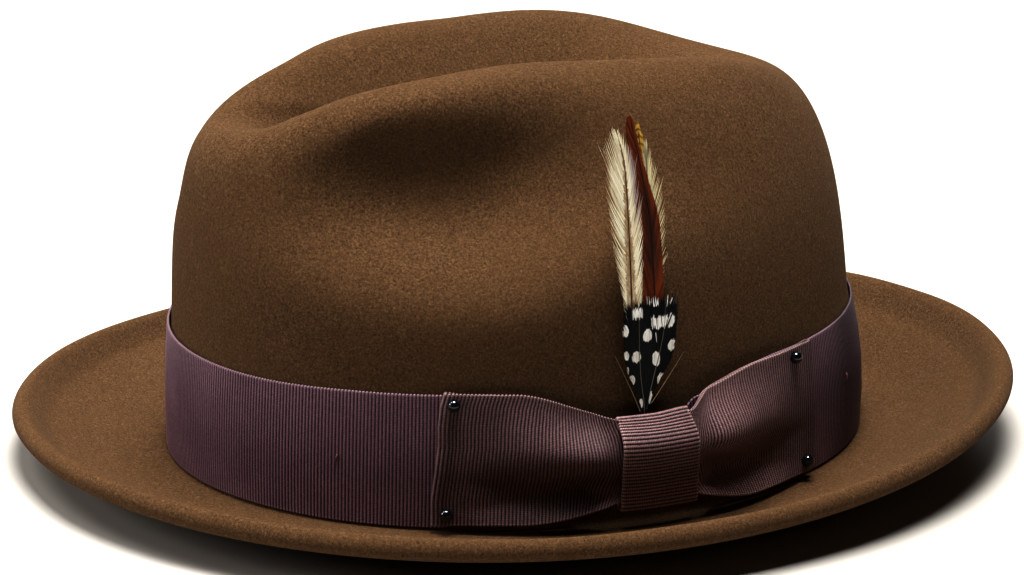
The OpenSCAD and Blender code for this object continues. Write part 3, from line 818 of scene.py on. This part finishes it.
def feather(name, node, mat, layer, axis, left, right, z_from, seed, ang=(24, 20), step=0.55, bw=0.62, clump=5, ragged=0.10,
            rachis=(0.42, 0.10), tent=0.05, spray=0.0, tip=3.0, fray=0.0, point=0.0, extra=()):
    """axis, left and right: (y, z) points; barbs leave the shaft from z_from up and end on the outline."""
    r = np.random.default_rng(seed)
    ax = smooth_curve(axis, 24)
    seg = np.concatenate([[0], np.cumsum(np.linalg.norm(np.diff(ax, axis=0), axis=-1))])
    left, right = np.asarray(left, float), np.asarray(right, float)
    z_tip = max(left[-1, 1], right[-1, 1])
    parts, tone, upos, kind, jit = [], [], [], [], []

    def at(sv):
        return np.stack([np.interp(sv, seg, ax[:, 0]), np.interp(sv, seg, ax[:, 1])], -1)

    def tang(sv):
        d = at(min(sv + 0.4, seg[-1])) - at(max(sv - 0.4, 0))
        return d / np.linalg.norm(d)

    def put(v, f, tn, up, kd, jt):
        parts.append((v, f))
        q = len(v)
        tone.append(np.full(q, tn)); upos.append(np.broadcast_to(up, (q,))); kind.append(np.full(q, kd)); jit.append(np.full(q, jt))

    s_from = np.interp(z_from, ax[:, 1], seg)
    s_end = seg[-1] - tip
    sv = np.linspace(0, s_end + 0.5 * tip, 44)
    P = at(sv)
    R = np.interp(sv, [0, s_end * 0.5, s_end, sv[-1]], [rachis[0], rachis[0] * 0.7, rachis[1], 0.03])
    v, f = tube(fp(P[:, 0], P[:, 1], layer + 0.14 * ss((P[:, 1] - 40) / 10)), R / 2, 8)
    put(v, f, 0.5, 0.0, 1.0, 0.0)
    for sd, edge, phi0 in ((-1, left, ang[0]), (1, right, ang[1])):
        s = s_from
        i = 0
        g_tone, g_len = 0.5, 1.0
        while s < s_end:
            if i % clump == 0:
                g_tone = r.uniform(0.3, 0.7)
                g_len = 1 - abs(r.normal(0, ragged))
            k = (i % clump) - (clump - 1) / 2
            frac = (s - s_from) / (s_end - s_from)
            phi = math.radians(phi0 * (0.62 + 0.5 * math.sin(math.pi * min(0.15 + frac, 1))) * (1 - 0.6 * ss((frac - 0.8) / 0.2)) - k * 1.0 + r.normal(0, 0.9))
            phi = max(phi, math.radians(2.5))
            a = at(s)
            t = tang(s)
            n_ = np.array([t[1], -t[0]]) * sd
            d = np.arange(0, 26, 0.2)
            pa = phi + 0.30 * phi * (0.5 - np.clip(d / 12, 0, 1))
            st = np.cos(pa)[:, None] * t + np.sin(pa)[:, None] * n_
            pts = a + np.concatenate([[np.zeros(2)], np.cumsum(st[:-1] * 0.2, 0)])
            lim = np.interp(pts[:, 1], edge[:, 1], edge[:, 0])
            out = (sd * (pts[:, 0] - lim) > 0) | (pts[:, 1] > z_tip - 0.1 - fray * r.random())
            out[:4] = False
            L = d[np.argmax(out)] if out.any() else d[-1]
            L = L * g_len * (1 - abs(r.normal(0, ragged * 0.5)))
            if r.random() < spray:
                L *= 1.22
            L = max(L, 0.8)
            m = 9
            u = np.linspace(0, 1, m)
            q = np.stack([np.interp(u * L, d, pts[:, 0]), np.interp(u * L, d, pts[:, 1])], -1)
            o = layer - tent * np.linalg.norm(q - a, axis=-1) + r.normal(0, 0.045) + 0.10 * u * math.sin(i * 0.7)
            p3 = fp(q[:, 0], q[:, 1], o)
            wdt = bw * np.clip(np.minimum(1.0, (1.03 - u) * (1.45 if point else 2.4 + 4 * (1 - ragged * 4))), 0.08, 1) * (0.8 + 0.2 * np.sin(math.pi * np.minimum(u * 1.6, 1)))
            th = np.full(m, 0.09)
            th[-1] = 0.03
            sdir = np.array([0, t[1], -t[0]])
            v, f = barb(p3, wdt, th, sdir / np.linalg.norm(sdir), np.array([1.0, 0, 0.085]))
            put(v, f, float(np.clip(g_tone + r.normal(0, 0.15), 0, 1)), np.repeat(u, 4), 0.0, r.normal(0, 1))
            s += step * r.uniform(0.8, 1.2)
            i += 1
    for e in extra:
        c = smooth_curve(e, 10)
        v, f = tube(fp(c[:, 0], c[:, 1], layer + 0.6), np.linspace(0.11, 0.03, len(c)), 6)
        put(v, f, 0.8, 0.5, 0.5, 0.0)
    V, F = join(parts)
    at_ = {"tone": np.concatenate(tone), "upos": np.concatenate(upos), "kind": np.concatenate(kind), "jit": np.concatenate(jit)}
    return make(name, V, F, mat, body="feather_mount", node=node, attrs=at_, smooth=False)


def feather_material(name, dark, light, shaft, tipcol=None, rough=0.5, sheen=0.25, marks=None):
    M = Mat(name)
    co = M.coords()
    tone = M.attr("tone")
    u = M.attr("upos")
    k = M.attr("kind")
    st = M.noise(M.scaled(co, 1, 1, 0.12), 2600, 2, 0.5)
    f = M.math("ADD", M.math("MULTIPLY", tone, 0.75), M.math("MULTIPLY", st, 0.5))
    c = M.ramp(f, [(0.25, dark), (0.62, light), (0.95, tuple(min(1, v * 1.25) for v in light))])
    if tipcol is not None:
        z = M.n("ShaderNodeSeparateXYZ")
        M.l(co, z.inputs[0])
        bar = M.rng(M.math("SINE", M.math("ADD", M.math("MULTIPLY", z.outputs[2], TAU / 0.0021), M.math("MULTIPLY", u, 3.0))), 0.1, 0.6, 1.0, 0.25)
        c = M.mix(M.math("MULTIPLY", M.rng(z.outputs[2], 0.098, 0.106, 0, 1), M.math("MULTIPLY", bar, M.rng(u, 0.05, 0.3, 0.35, 1.0))), c, tipcol)
    c = M.mix(M.rng(u, 0.0, 0.16, 0.55, 0.0), c, tuple(v * 0.35 for v in light))
    if marks == "cream":
        z = M.n("ShaderNodeSeparateXYZ")
        M.l(co, z.inputs[0])
        y_, z_ = z.outputs[1], z.outputs[2]
        # brown stripe beside the shaft, stronger low down
        low = M.rng(z_, 0.060, 0.092, 0.42, 0.13)
        c = M.mix(M.math("MULTIPLY", M.math("LESS_THAN", u, low), M.rng(st, 0.35, 0.6, 0.30, 0.85)), c, (0.33, 0.17, 0.045))
        # rust-brown tips on the left, mauve-grey tips at the upper right
        c = M.mix(M.math("MULTIPLY", M.rng(y_, -0.0172, -0.0152, 0.9, 0.0), M.math("MULTIPLY", M.rng(z_, 0.088, 0.095, 0, 1), M.rng(z_, 0.104, 0.108, 1, 0))), c, (0.30, 0.125, 0.030))
        c = M.mix(M.math("MULTIPLY", M.math("MULTIPLY", M.rng(u, 0.35, 0.75, 0, 0.75), M.rng(y_, -0.0112, -0.0095, 0, 1)), M.rng(z_, 0.083, 0.093, 0, 1)), c, (0.36, 0.29, 0.31))
    if marks == "rust":
        z = M.n("ShaderNodeSeparateXYZ")
        M.l(co, z.inputs[0])
        mid = M.math("MULTIPLY", M.rng(z.outputs[2], 0.066, 0.078, 0, 1), M.rng(z.outputs[2], 0.092, 0.104, 1, 0.3))
        c = M.mix(M.math("MULTIPLY", mid, M.rng(u, 0.25, 0.7, 0.75, 0.15)), c, (0.020, 0.006, 0.003))
    c = M.mix(M.rng(k, 0.4, 0.9, 0, 1), c, shaft)
    M.col(c)
    M.set(Roughness=rough)
    M.p.inputs["Specular IOR Level"].default_value = 0.25
    M.set(Sheen_Weight=sheen, Sheen_Roughness=0.3)
    M.nor(M.bump(st, 0.4, 0.0001))
    return M.m


def guinea_material(name, dots, fringe):
    """Black feather with round white spots, placed in the feather's own (y, z)."""
    M = Mat(name)
    co = M.coords()
    jit = M.attr("jit")
    k = M.attr("kind")
    xyz = M.n("ShaderNodeSeparateXYZ")
    M.l(co, xyz.inputs[0])
    y = M.math("MULTIPLY", xyz.outputs[1], 1000.0)
    z = M.math("ADD", M.math("MULTIPLY", xyz.outputs[2], 1000.0), M.math("MULTIPLY", jit, 0.16))
    acc = None
    for (dy, dz, ry, rz) in dots:
        a = M.math("POWER", M.math("DIVIDE", M.math("SUBTRACT", y, dy), ry), 2.0)
        b = M.math("POWER", M.math("DIVIDE", M.math("SUBTRACT", z, dz), rz), 2.0)
        v = M.math("SUBTRACT", 1.0, M.math("ADD", a, b))
        acc = v if acc is None else M.math("MAXIMUM", acc, v)
    w = M.rng(acc, -0.12, 0.12, 0, 1)
    # broken white bars in the fringe at the top
    zj = M.math("ADD", z, M.math("MULTIPLY", M.math("SINE", M.math("MULTIPLY", jit, 9.0)), 0.45))
    for (y0, y1, z0, z1, gap) in fringe:
        a = M.math("MULTIPLY", M.rng(y, y0, y0 + 0.5, 0, 1), M.rng(y, y1 - 0.5, y1, 1, 0))
        b = M.math("MULTIPLY", M.rng(zj, z0, z0 + 0.35, 0, 1), M.rng(zj, z1 - 0.35, z1, 1, 0))
        g = M.math("MULTIPLY", M.math("MULTIPLY", a, b), M.math("GREATER_THAN", M.math("FRACT", M.math("MULTIPLY", jit, 3.7)), gap))
        w = M.math("MAXIMUM", w, g)
    st = M.noise(M.scaled(co, 1, 1, 0.15), 2400, 2, 0.5)
    black = M.ramp(st, [(0.3, (0.0015, 0.0018, 0.0026)), (0.75, (0.0085, 0.0098, 0.012))])
    white = M.ramp(st, [(0.25, (0.62, 0.60, 0.55)), (0.55, (0.95, 0.94, 0.90))])
    c = M.mix(w, black, white)
    c = M.mix(M.rng(k, 0.7, 0.95, 0, 1), c, (0.20, 0.18, 0.15))
    c = M.mix(M.math("MULTIPLY", M.math("GREATER_THAN", k, 0.3), M.math("LESS_THAN", k, 0.7)), c, (0.33, 0.26, 0.17))
    M.col(c)
    M.set(Roughness=0.42)
    M.p.inputs["Specular IOR Level"].default_value = 0.16
    return M.m


def build_feathers():
    cream = feather_material("hackle_cream", (0.58, 0.47, 0.29), (0.95, 0.86, 0.66), (0.075, 0.028, 0.008), sheen=0.08, marks="cream")
    griz = feather_material("hackle_grizzly", (0.24, 0.19, 0.10), (0.72, 0.65, 0.42), (0.10, 0.06, 0.03), sheen=0.1)
    rust = feather_material("feather_rust", (0.045, 0.008, 0.0015), (0.20, 0.038, 0.004), (0.03, 0.006, 0.002), sheen=0.0, marks="rust")
    gold = feather_material("feather_gold", (0.045, 0.018, 0.006), (0.17, 0.075, 0.018), (0.10, 0.045, 0.012), tipcol=(0.72, 0.47, 0.10))
    feather("gold_feather", "feather_gold", gold, -2.5,
            [(-6.9, 31), (-6.8, 42), (-5.5, 60), (-3.8, 84), (-4.5, 97.6), (-5.1, 106.1), (-5.6, 113.2)],
            [(-6.6, 56), (-4.9, 84), (-6.0, 97), (-6.9, 104), (-7.1, 108), (-6.8, 111), (-5.7, 113.6)],
            [(-4.6, 56), (-2.6, 84), (-3.1, 97), (-3.4, 103), (-3.6, 107), (-4.1, 110), (-5.5, 113.6)], 58, 11, ang=(15, 15), step=0.4, bw=0.5,
            ragged=0.08, tip=2.5)
    feather("grizzly_hackle", "feather_grizzly", griz, -1.5,
            [(-6.4, 31), (-6.0, 42), (-4.4, 54), (-3.2, 65), (-2.9, 81.5), (-3.3, 94), (-3.7, 102), (-4.0, 109.6)],
            [(-6.2, 48), (-5.6, 66), (-6.2, 90), (-5.7, 102), (-4.8, 107), (-4.1, 109.8)],
            [(-4.2, 50), (-2.0, 58), (0.3, 65.7), (2.1, 74), (3.1, 82.4), (2.9, 90), (2.4, 95.9), (0.6, 99.5), (-1.2, 103.5), (-2.9, 108.1), (-3.8, 109.8)], 50, 12,
            ang=(18, 25), step=0.66, bw=0.46, clump=4, ragged=0.15, spray=0.05, tip=4, point=1)
    feather("rust_feather", "feather_rust", rust, -0.5,
            [(-6.6, 31), (-6.2, 40), (-4.2, 50), (-2.8, 60.8), (-2.5, 67.5), (-2.8, 75.8), (-3.3, 86.3), (-4.9, 95.3), (-6.4, 103.6), (-8.0, 110.6), (-8.8, 115.4)],
            [(-6.0, 44), (-5.3, 52), (-5.4, 58), (-5.6, 65), (-5.9, 76), (-6.8, 86), (-7.6, 95), (-8.6, 104), (-9.3, 108), (-10.1, 112), (-9.7, 115), (-9.0, 116)],
            [(-5.0, 44), (-1.9, 52), (-0.2, 58), (0.6, 65), (0.6, 76), (-0.2, 86), (-1.4, 91), (-2.7, 95), (-4.2, 100), (-5.5, 104), (-6.6, 108), (-7.3, 112), (-8.2, 115), (-8.9, 116)], 44, 13,
            ang=(12, 12), step=0.36, bw=0.62, clump=9, ragged=0.025, tip=3)
    feather("cream_hackle", "feather_cream", cream, 0.5,
            [(-6.9, 31), (-7.1, 40), (-8.9, 48), (-9.9, 56), (-10.1, 66), (-10.2, 74.5), (-10.5, 84.6), (-10.9, 95), (-11.4, 102.5), (-12.6, 108.5), (-14.3, 113.4)],
            [(-9.2, 44), (-10.4, 50), (-11.4, 56), (-12.6, 63.4), (-14.0, 71.9), (-15.2, 80), (-16.4, 89.7), (-17.5, 100), (-18.0, 107.5), (-17.2, 110), (-15.6, 112.6), (-14.6, 113.8)],
            [(-8.4, 44), (-8.0, 50), (-7.2, 56), (-6.6, 61), (-6.1, 67.6), (-6.0, 76.5), (-5.6, 84.6), (-5.9, 92.3), (-6.6, 98), (-7.5, 103.7), (-9.4, 108), (-11.9, 111.3), (-14.0, 113.8)], 46, 14,
            ang=(25, 20), step=0.42, bw=0.54, clump=6, ragged=0.10, spray=0.04, rachis=(0.50, 0.16), tip=5.5, point=1)
    gr = guinea_material("guinea_rear",
                         [(-4.9, 37.9, 0.7, 1.9), (-1.4, 42.4, 1.3, 1.6), (-3.1, 48.6, 1.25, 2.0), (2.0, 51.8, 1.4, 1.6), (-5.7, 43.4, 0.5, 1.9), (-6.3, 49.5, 0.25, 1.7)],
                         [(-4.6, 3.2, 57.0, 60.4, 0.16), (-5.2, -1.6, 63.2, 66.4, 0.30), (0.0, 3.9, 63.0, 65.4, 0.62), (-4.4, -2.6, 52.5, 55.5, 0.72)])
    gf = guinea_material("guinea_front",
                         [(-7.9, 36.6, 0.55, 1.5), (-10.7, 43.4, 0.95, 1.5), (-12.3, 50.6, 0.7, 1.4), (-9.5, 50.1, 1.35, 1.6), (-12.6, 57.6, 0.85, 1.7), (-6.0, 55.6, 1.55, 1.8), (-12.0, 46.0, 0.4, 1.4)],
                         [(-10.8, -7.3, 60.6, 63.6, 0.06)])
    feather("guinea_feather_rear", "feather_guinea_rear", gr, 1.5,
            [(-6.2, 31), (-5.9, 36), (-4.0, 43), (-1.9, 51), (-0.6, 58), (-0.1, 67.0)],
            [(-6.6, 33), (-6.9, 38), (-7.1, 44), (-6.4, 52), (-5.3, 58), (-5.2, 63), (-5.0, 66.4)],
            [(-5.6, 33), (-4.2, 34.6), (-2.2, 38), (0.3, 42.4), (1.8, 46), (2.9, 50.5), (3.7, 54), (4.1, 57.3), (4.3, 61), (4.2, 66.4)], 33.5, 15,
            ang=(19, 19), step=0.22, bw=0.42, clump=3, ragged=0.035, rachis=(0.34, 0.1), tent=0.08, tip=5, fray=3.4, extra=([(-4.6, 36.4), (-0.5, 41.6), (3.0, 46.3), (5.4, 49.8)],))
    feather("guinea_feather_front", "feather_guinea_front", gf, 2.5,
            [(-6.9, 31), (-7.0, 36), (-7.9, 43), (-8.7, 51), (-8.9, 57), (-8.8, 65.6)],
            [(-7.5, 33), (-8.5, 34.7), (-9.8, 38), (-11.0, 41.2), (-12.1, 45), (-13.0, 49.8), (-13.3, 54), (-13.4, 58.2), (-13.3, 62), (-13.0, 65.4)],
            [(-6.5, 33), (-5.9, 36), (-5.0, 41), (-4.4, 46), (-4.0, 52), (-4.2, 58), (-4.8, 62.6), (-5.4, 65.4)], 33.5, 16,
            ang=(18, 18), step=0.22, bw=0.42, clump=3, ragged=0.035, rachis=(0.34, 0.1), tent=0.08, tip=5, fray=1.6, extra=([(-8.3, 34.6), (-10.9, 40.5), (-13.8, 46.4), (-16.6, 51.7)],))
    # binding: thread wound round the quills
    M = Mat("quill_binding")
    c = M.ramp(M.noise(M.coords(), 1800, 2), [(0.3, (0.010, 0.008, 0.006)), (0.7, (0.035, 0.026, 0.02))])
    M.col(c)
    M.set(Roughness=0.7)
    ph = np.linspace(0, 1, 420)
    turns = 40
    a = ph * turns * TAU
    core = fp(-6.6, np.linspace(21.8, 35.4, 30), 0)
    V1, F1 = tube(core, 0.80, 20)
    z = 22.0 + 13.2 * ph
    hel = np.stack([FX + 0.82 * np.cos(a), -6.6 + 1.08 * np.sin(a), z], -1)
    sc = V1[:, 1] + 6.6
    V1[:, 1] = -6.6 + sc * 1.3
    a2 = np.linspace(0, turns * TAU, turns * 18)
    hel = np.stack([FX + 0.82 * np.cos(a2), -6.6 + 1.06 * np.sin(a2), 22.0 + 13.2 * a2 / a2[-1]], -1)
    V2, F2 = tube(hel, 0.17, 6)
    V, F = join([(V1, F1), (V2, F2)])
    make("quill_winding", V, F, M.m, body="feather_mount", node="feather_binding")


# ---------------------------------------------------------------- inside of the hat
def build_inside():
    # leather sweatband
    M = Mat("sweatband_leather")
    co = M.coords()
    vo = M.n("ShaderNodeTexVoronoi", i_Scale=900.0, feature="DISTANCE_TO_EDGE")
    M.l(co, vo.inputs["Vector"])
    grain = M.rng(vo.outputs["Distance"], 0.0, 0.25, 0, 1)
    c = M.ramp(M.noise(co, 60, 4, 0.6), [(0.3, (0.070, 0.036, 0.018)), (0.7, (0.135, 0.075, 0.040))])
    M.col(M.mix(M.rng(M.noise(co, 700, 2), 0.5, 0.8, 0, 0.4), c, (0.05, 0.026, 0.014)))
    M.set(Roughness=0.42)
    M.nor(M.bump(grain, 0.35, 0.0002))
    NT = 420
    g0 = math.radians(90.9)
    t = g0 + math.radians(358.2) * np.arange(NT + 1) / NT
    rows = np.array([0, 0.2, 0.5, 1, 2.2, 4, 8, 12, 16, 20, 24, 28, 31, 33, 34, 34.6, 34.9, 35])
    T, R = np.meshgrid(t, rows, indexing="ij")
    o = -FELT_T - 1.65 + 0.22 * wob(T * 5, R * 0.07, 41, 5) * ss(R / 10) * ss((35 - R) / 6)
    C = wall(T, 2.5 + R, o)
    N = -enorm(T)
    d = np.minimum(R, 35 - R)
    ht = 0.5 * np.sqrt(np.clip(1 - (1 - np.clip(d / 0.5, 0, 1)) ** 2, 0.03, 1))
    V, F = sheet_mesh(C, N, ht, ht)
    make("leather_sweatband", V, F[:, ::-1], M.m, node="sweatband")
    # reed: leather rolled over a cord
    M = Mat("reed_leather")
    co = M.coords()
    M.col(M.ramp(M.noise(co, 500, 3), [(0.3, (0.04, 0.022, 0.013)), (0.7, (0.085, 0.05, 0.03))]))
    M.set(Roughness=0.5)
    M.nor(M.bump(M.noise(co, 1600, 2), 0.4, 0.0002))
    t = np.arange(360) / 360 * TAU
    b = np.arange(14) / 14 * TAU
    T, Bb = np.meshgrid(t, b, indexing="ij")
    P = wall(T, 1.25 + np.sin(Bb), -FELT_T - 1.5 + np.cos(Bb))
    F = grid_faces(360, 14, True, True)
    make("reed_piping", P.reshape(-1, 3), F[:, ::-1], M.m, node="sweatband_reed")
    # stitches
    M = Mat("waxed_thread")
    M.col(M.ramp(M.noise(M.coords(), 2500, 2), [(0.3, (0.40, 0.30, 0.17)), (0.7, (0.62, 0.50, 0.32))]))
    M.set(Roughness=0.6)
    parts = []
    n = 148
    for i in range(n):
        a = math.radians(92.2) + math.radians(355.6) * i / n
        tt = np.linspace(a, a + math.radians(1.75), 6)
        up = np.sin(np.linspace(0, math.pi, 6))
        P = wall(tt, 4.4 + 0 * tt, -FELT_T - 2.15 - 0.28 * up)
        parts.append(tube(P, 0.2, 7))
    V, F = join(parts)
    make("sweatband_thread", V, F, M.m, node="sweatband_stitches")
    # small bow at the back seam
    M = Mat("small_bow_satin")
    co = M.coords()
    M.col(M.ramp(M.noise(M.scaled(co, 1, 1, 4), 300, 2), [(0.3, (0.022, 0.012, 0.015)), (0.7, (0.055, 0.028, 0.034))]))
    M.set(Roughness=0.32)
    M.set(Sheen_Weight=0.4)
    y0 = float(wall(math.radians(90), 30, -FELT_T - 2.2)[1]) - 0.7
    parts = []
    for s in (-1, 1):
        k = 60
        a = np.arange(k) / k * TAU
        lx = s * (6.3 + 5.3 * np.cos(a)) * 1.0
        lz = 3.0 * np.sin(a) * (0.45 + 0.55 * np.clip((6.3 + 5.3 * np.cos(a)) / 11.6, 0, 1)) * 1.1
        wv = np.linspace(-1.25, 1.25, 7)
        Ax, Wv = np.meshgrid(np.arange(k), wv, indexing="ij")
        C = np.stack([lx[Ax], y0 - 1.45 + Wv * 0.85 + 0.012 * (lx[Ax]) ** 2 * -1 * 0.3, 30 + lz[Ax]], -1)
        N = normals_of(C, ci=True)
        V, F = sheet_mesh(C, N, np.full(C.shape[:2], 0.2), np.full(C.shape[:2], 0.2), ci=True)
        parts.append((V, F))
        tl = np.linspace(0, 1, 12)
        tx = s * (1.0 + 3.6 * tl ** 1.2)
        tz = 29.2 - 11.0 * tl
        wv = np.linspace(-1.5, 1.5, 5)
        Tl, Wv = np.meshgrid(np.arange(12), wv, indexing="ij")
        C = np.stack([tx[Tl] + Wv, y0 - 0.95 + 0.25 * np.sin(tl[Tl] * 5 + s) - 0.0 * Wv, tz[Tl] + 0.35 * Wv * s], -1)
        N = normals_of(C)
        parts.append(sheet_mesh(C, N, np.full(C.shape[:2], 0.17), np.full(C.shape[:2], 0.17)))
    kv, kf = uv_sphere(np.array([0, 0, 0]), 1.0, 28, 16)
    kv = kv / np.maximum(np.abs(kv).max(axis=1, keepdims=True) ** 0.5, 0.3)
    kv = kv * np.array([2.0, 1.25, 2.2]) / 1.2 + np.array([0, y0 - 1.5, 30])
    parts.append((kv, kf))
    V, F = join(parts)
    make("back_seam_bow", V, F, M.m, node="sweatband_bow")
    # satin lining
    M = Mat("lining_satin")
    co = M.coords()
    wv = M.n("ShaderNodeTexWave", i_Scale=520.0, i_Distortion=1.5)
    M.l(co, wv.inputs["Vector"])
    c = M.ramp(M.noise(co, 26, 3), [(0.3, (0.30, 0.19, 0.085)), (0.7, (0.46, 0.31, 0.155))])
    M.col(M.mix(M.rng(wv.outputs["Fac"], 0.3, 0.9, 0, 0.18), c, (0.58, 0.43, 0.25)))
    M.set(Roughness=0.36)
    M.set(Sheen_Weight=0.25, Anisotropic=0.4)
    M.nor(M.bump(wv.outputs["Fac"], 0.15, 0.0001))
    NT, LJ = 256, 44
    t = np.arange(NT) / NT * TAU
    T = t[:, None]
    a0 = row_a(T, 50.0)

    def lin(j, o):
        ang = a0 + (math.pi / 2 - a0) * (j[None, :] / 84.0)
        d = 0.012
        nn = np.cross(crown(T + d, ang) - crown(T - d, ang), crown(T, ang + d) - crown(T, ang - d))
        nn /= np.maximum(np.linalg.norm(nn, axis=-1, keepdims=True), 1e-9)
        pl = 0.28 * np.sin(T * 60) * ss((j[None, :] - 10) / 25) * np.exp(-((j[None, :] - 46) / 16.0) ** 2)
        return crown(T, ang) - (FELT_T + o + np.abs(pl))[..., None] * nn
    zs = np.array([24, 30, 36, 42, 46])[None, :]
    jo = np.arange(0, LJ + 1)
    lo = np.concatenate([wall(T, zs, -FELT_T - 0.45), lin(jo, 0.45)], 1)
    li = np.concatenate([wall(T, zs, -FELT_T - 0.8), lin(jo, 0.8)], 1)
    P = np.concatenate([lo, li[:, ::-1]], 1)
    F = grid_faces(NT, P.shape[1], True, True)
    make("lining_side_strip", P.reshape(-1, 3), F[:, ::-1], M.m, node="lining_side")
    jt = np.arange(LJ + 2, 84)
    lo, li = lin(jt, 0.45), lin(jt, 0.8)
    P = np.concatenate([li[:, ::-1], lo], 1)
    n, m = P.shape[:2]
    top = crown(np.array(0.0), np.array(math.pi / 2))
    V = np.concatenate([P.reshape(-1, 3), (top - [0, 0, FELT_T + 0.8]).reshape(1, 3), (top - [0, 0, FELT_T + 0.45]).reshape(1, 3)])
    F = grid_faces(n, m, True)[:, ::-1].tolist()
    i = np.arange(n)
    j = (i + 1) % n
    F += np.stack([i * m, j * m, np.full(n, n * m)], -1).tolist()
    F += np.stack([j * m + m - 1, i * m + m - 1, np.full(n, n * m + 1)], -1).tolist()
    make("lining_tip_panel", V, F, M.m, node="lining_tip")


def build_tacks():
    M = Mat("plum_thread")
    M.col(M.ramp(M.noise(M.coords(), 2500, 2), [(0.3, (0.10, 0.035, 0.04)), (0.7, (0.24, 0.09, 0.10))]))
    M.set(Roughness=0.6)
    parts = []
    for a, z in ((-52.5, 21), (46.0, 24.5), (118, 22), (205, 22)):
        t = math.radians(a)
        for dz, dt in ((0.0, 0.0), (0.22, 0.012)):
            u = np.linspace(-1, 1, 7)
            P = wall(t + dt * 0.3 + 0.0022 * u, z + dz + 0.95 * u, 1.42 - 0.42 * u ** 2 + 0.05)
            parts.append(tube(P, 0.13, 8))
    V, F = join(parts)
    make("band_thread_tacks", V, F, M.m, node="band_tacks")


# ---------------------------------------------------------------- build
felt = felt_material()
build_felt(felt)
# painted shade: the band, and the knot and rear wing through rib_bow, are darkened towards the back
rib_band = ribbon_material("grosgrain_band", (0.010, 0.003, 0.008), (0.072, 0.033, 0.054), (0.215, 0.116, 0.154), (0.40, 0.265, 0.30), painted_shade=(0.062, 0.074, 0.68))
rib_bow = ribbon_material("grosgrain_bow", (0.006, 0.0015, 0.003), (0.050, 0.020, 0.025), (0.270, 0.152, 0.154), (0.52, 0.365, 0.35), painted_shade=(0.034, 0.060, 0.5))
# painted shade: the front wing gets a darker copy of the bow ribbon, with colours about 0.7 times those of rib_bow
rib_bow_front_shaded = ribbon_material("grosgrain_bow_front_painted_shade", (0.005, 0.0012, 0.003), (0.036, 0.014, 0.020), (0.170, 0.090, 0.094), (0.36, 0.245, 0.24))
build_band(rib_band)
build_wing("bow_wing_front", -1, rib_bow_front_shaded, "bow_front_wing")
build_wing("bow_wing_rear", 1, rib_bow, "bow_rear_wing")
build_knot(rib_bow)
M = Mat("pin_gloss")
M.col(M.ramp(M.noise(M.coords(), 400, 2), [(0.3, (0.002, 0.003, 0.006)), (0.7, (0.006, 0.008, 0.014))]))
M.set(Roughness=0.06, Coat_Weight=0.5, Coat_Roughness=0.03)
M2 = Mat("pin_wire_steel")
M2.col(M2.ramp(M2.noise(M2.coords(), 900, 2), [(0.3, (0.45, 0.45, 0.46)), (0.7, (0.65, 0.65, 0.67))]))
M2.set(Metallic=1.0, Roughness=0.25)
build_pins(M.m, M2.m)
build_tacks()
build_feathers()
build_inside()

# ---------------------------------------------------------------- stage and light
M = Mat("floor_pale")
M.col(M.ramp(M.noise(M.coords(), 3.0, 2), [(0.3, (0.465, 0.44, 0.405)), (0.7, (0.485, 0.46, 0.425))]))
M.set(Roughness=0.6)
M.p.inputs["Specular IOR Level"].default_value = 0.1
fl = bpy.data.meshes.new("floor")
fl.from_pydata([(-9, -9, -0.0003), (9, -9, -0.0003), (9, 9, -0.0003), (-9, 9, -0.0003)], [], [(0, 1, 2, 3)])
flo = bpy.data.objects.new("floor", fl)
fl.materials.append(M.m)
bpy.context.scene.collection.objects.link(flo)

w = bpy.data.worlds.new("studio")
bpy.context.scene.world = w
w.use_nodes = True
w.node_tree.nodes["Background"].inputs[0].default_value = (1, 1, 1, 1)
w.node_tree.nodes["Background"].inputs[1].default_value = 0.02


def area(name, pos, target, size, power, color=(1, 1, 1), size_y=None):
    ld = bpy.data.lights.new(name, "AREA")
    ld.energy = power
    ld.size = size
    if size_y:
        ld.shape = "RECTANGLE"
        ld.size_y = size_y
    ld.color = color
    lo = bpy.data.objects.new(name, ld)
    lo.location = pos
    lo.rotation_euler = (Vector(target) - Vector(pos)).to_track_quat("-Z", "Y").to_euler()
    bpy.context.scene.collection.objects.link(lo)
    return lo


def ring(name, az, el, r, size, power):
    a, e = math.radians(az), math.radians(el)
    area(name, (r * math.cos(a) * math.cos(e), r * math.sin(a) * math.cos(e), r * math.sin(e) + 0.05), (0, 0, 0.05), size, power)


ring("overhead", 0, 88, 2.0, 1.0, 112)
ring("front_high", 240, 55, 2.0, 0.8, 19)
ring("front_low", 248, 22, 2.0, 0.8, 21)
ring("rear_low", 138, 22, 2.0, 0.6, 8)
vs = bpy.context.scene.view_settings
vs.view_transform = "Standard"
vs.gamma = 0.685

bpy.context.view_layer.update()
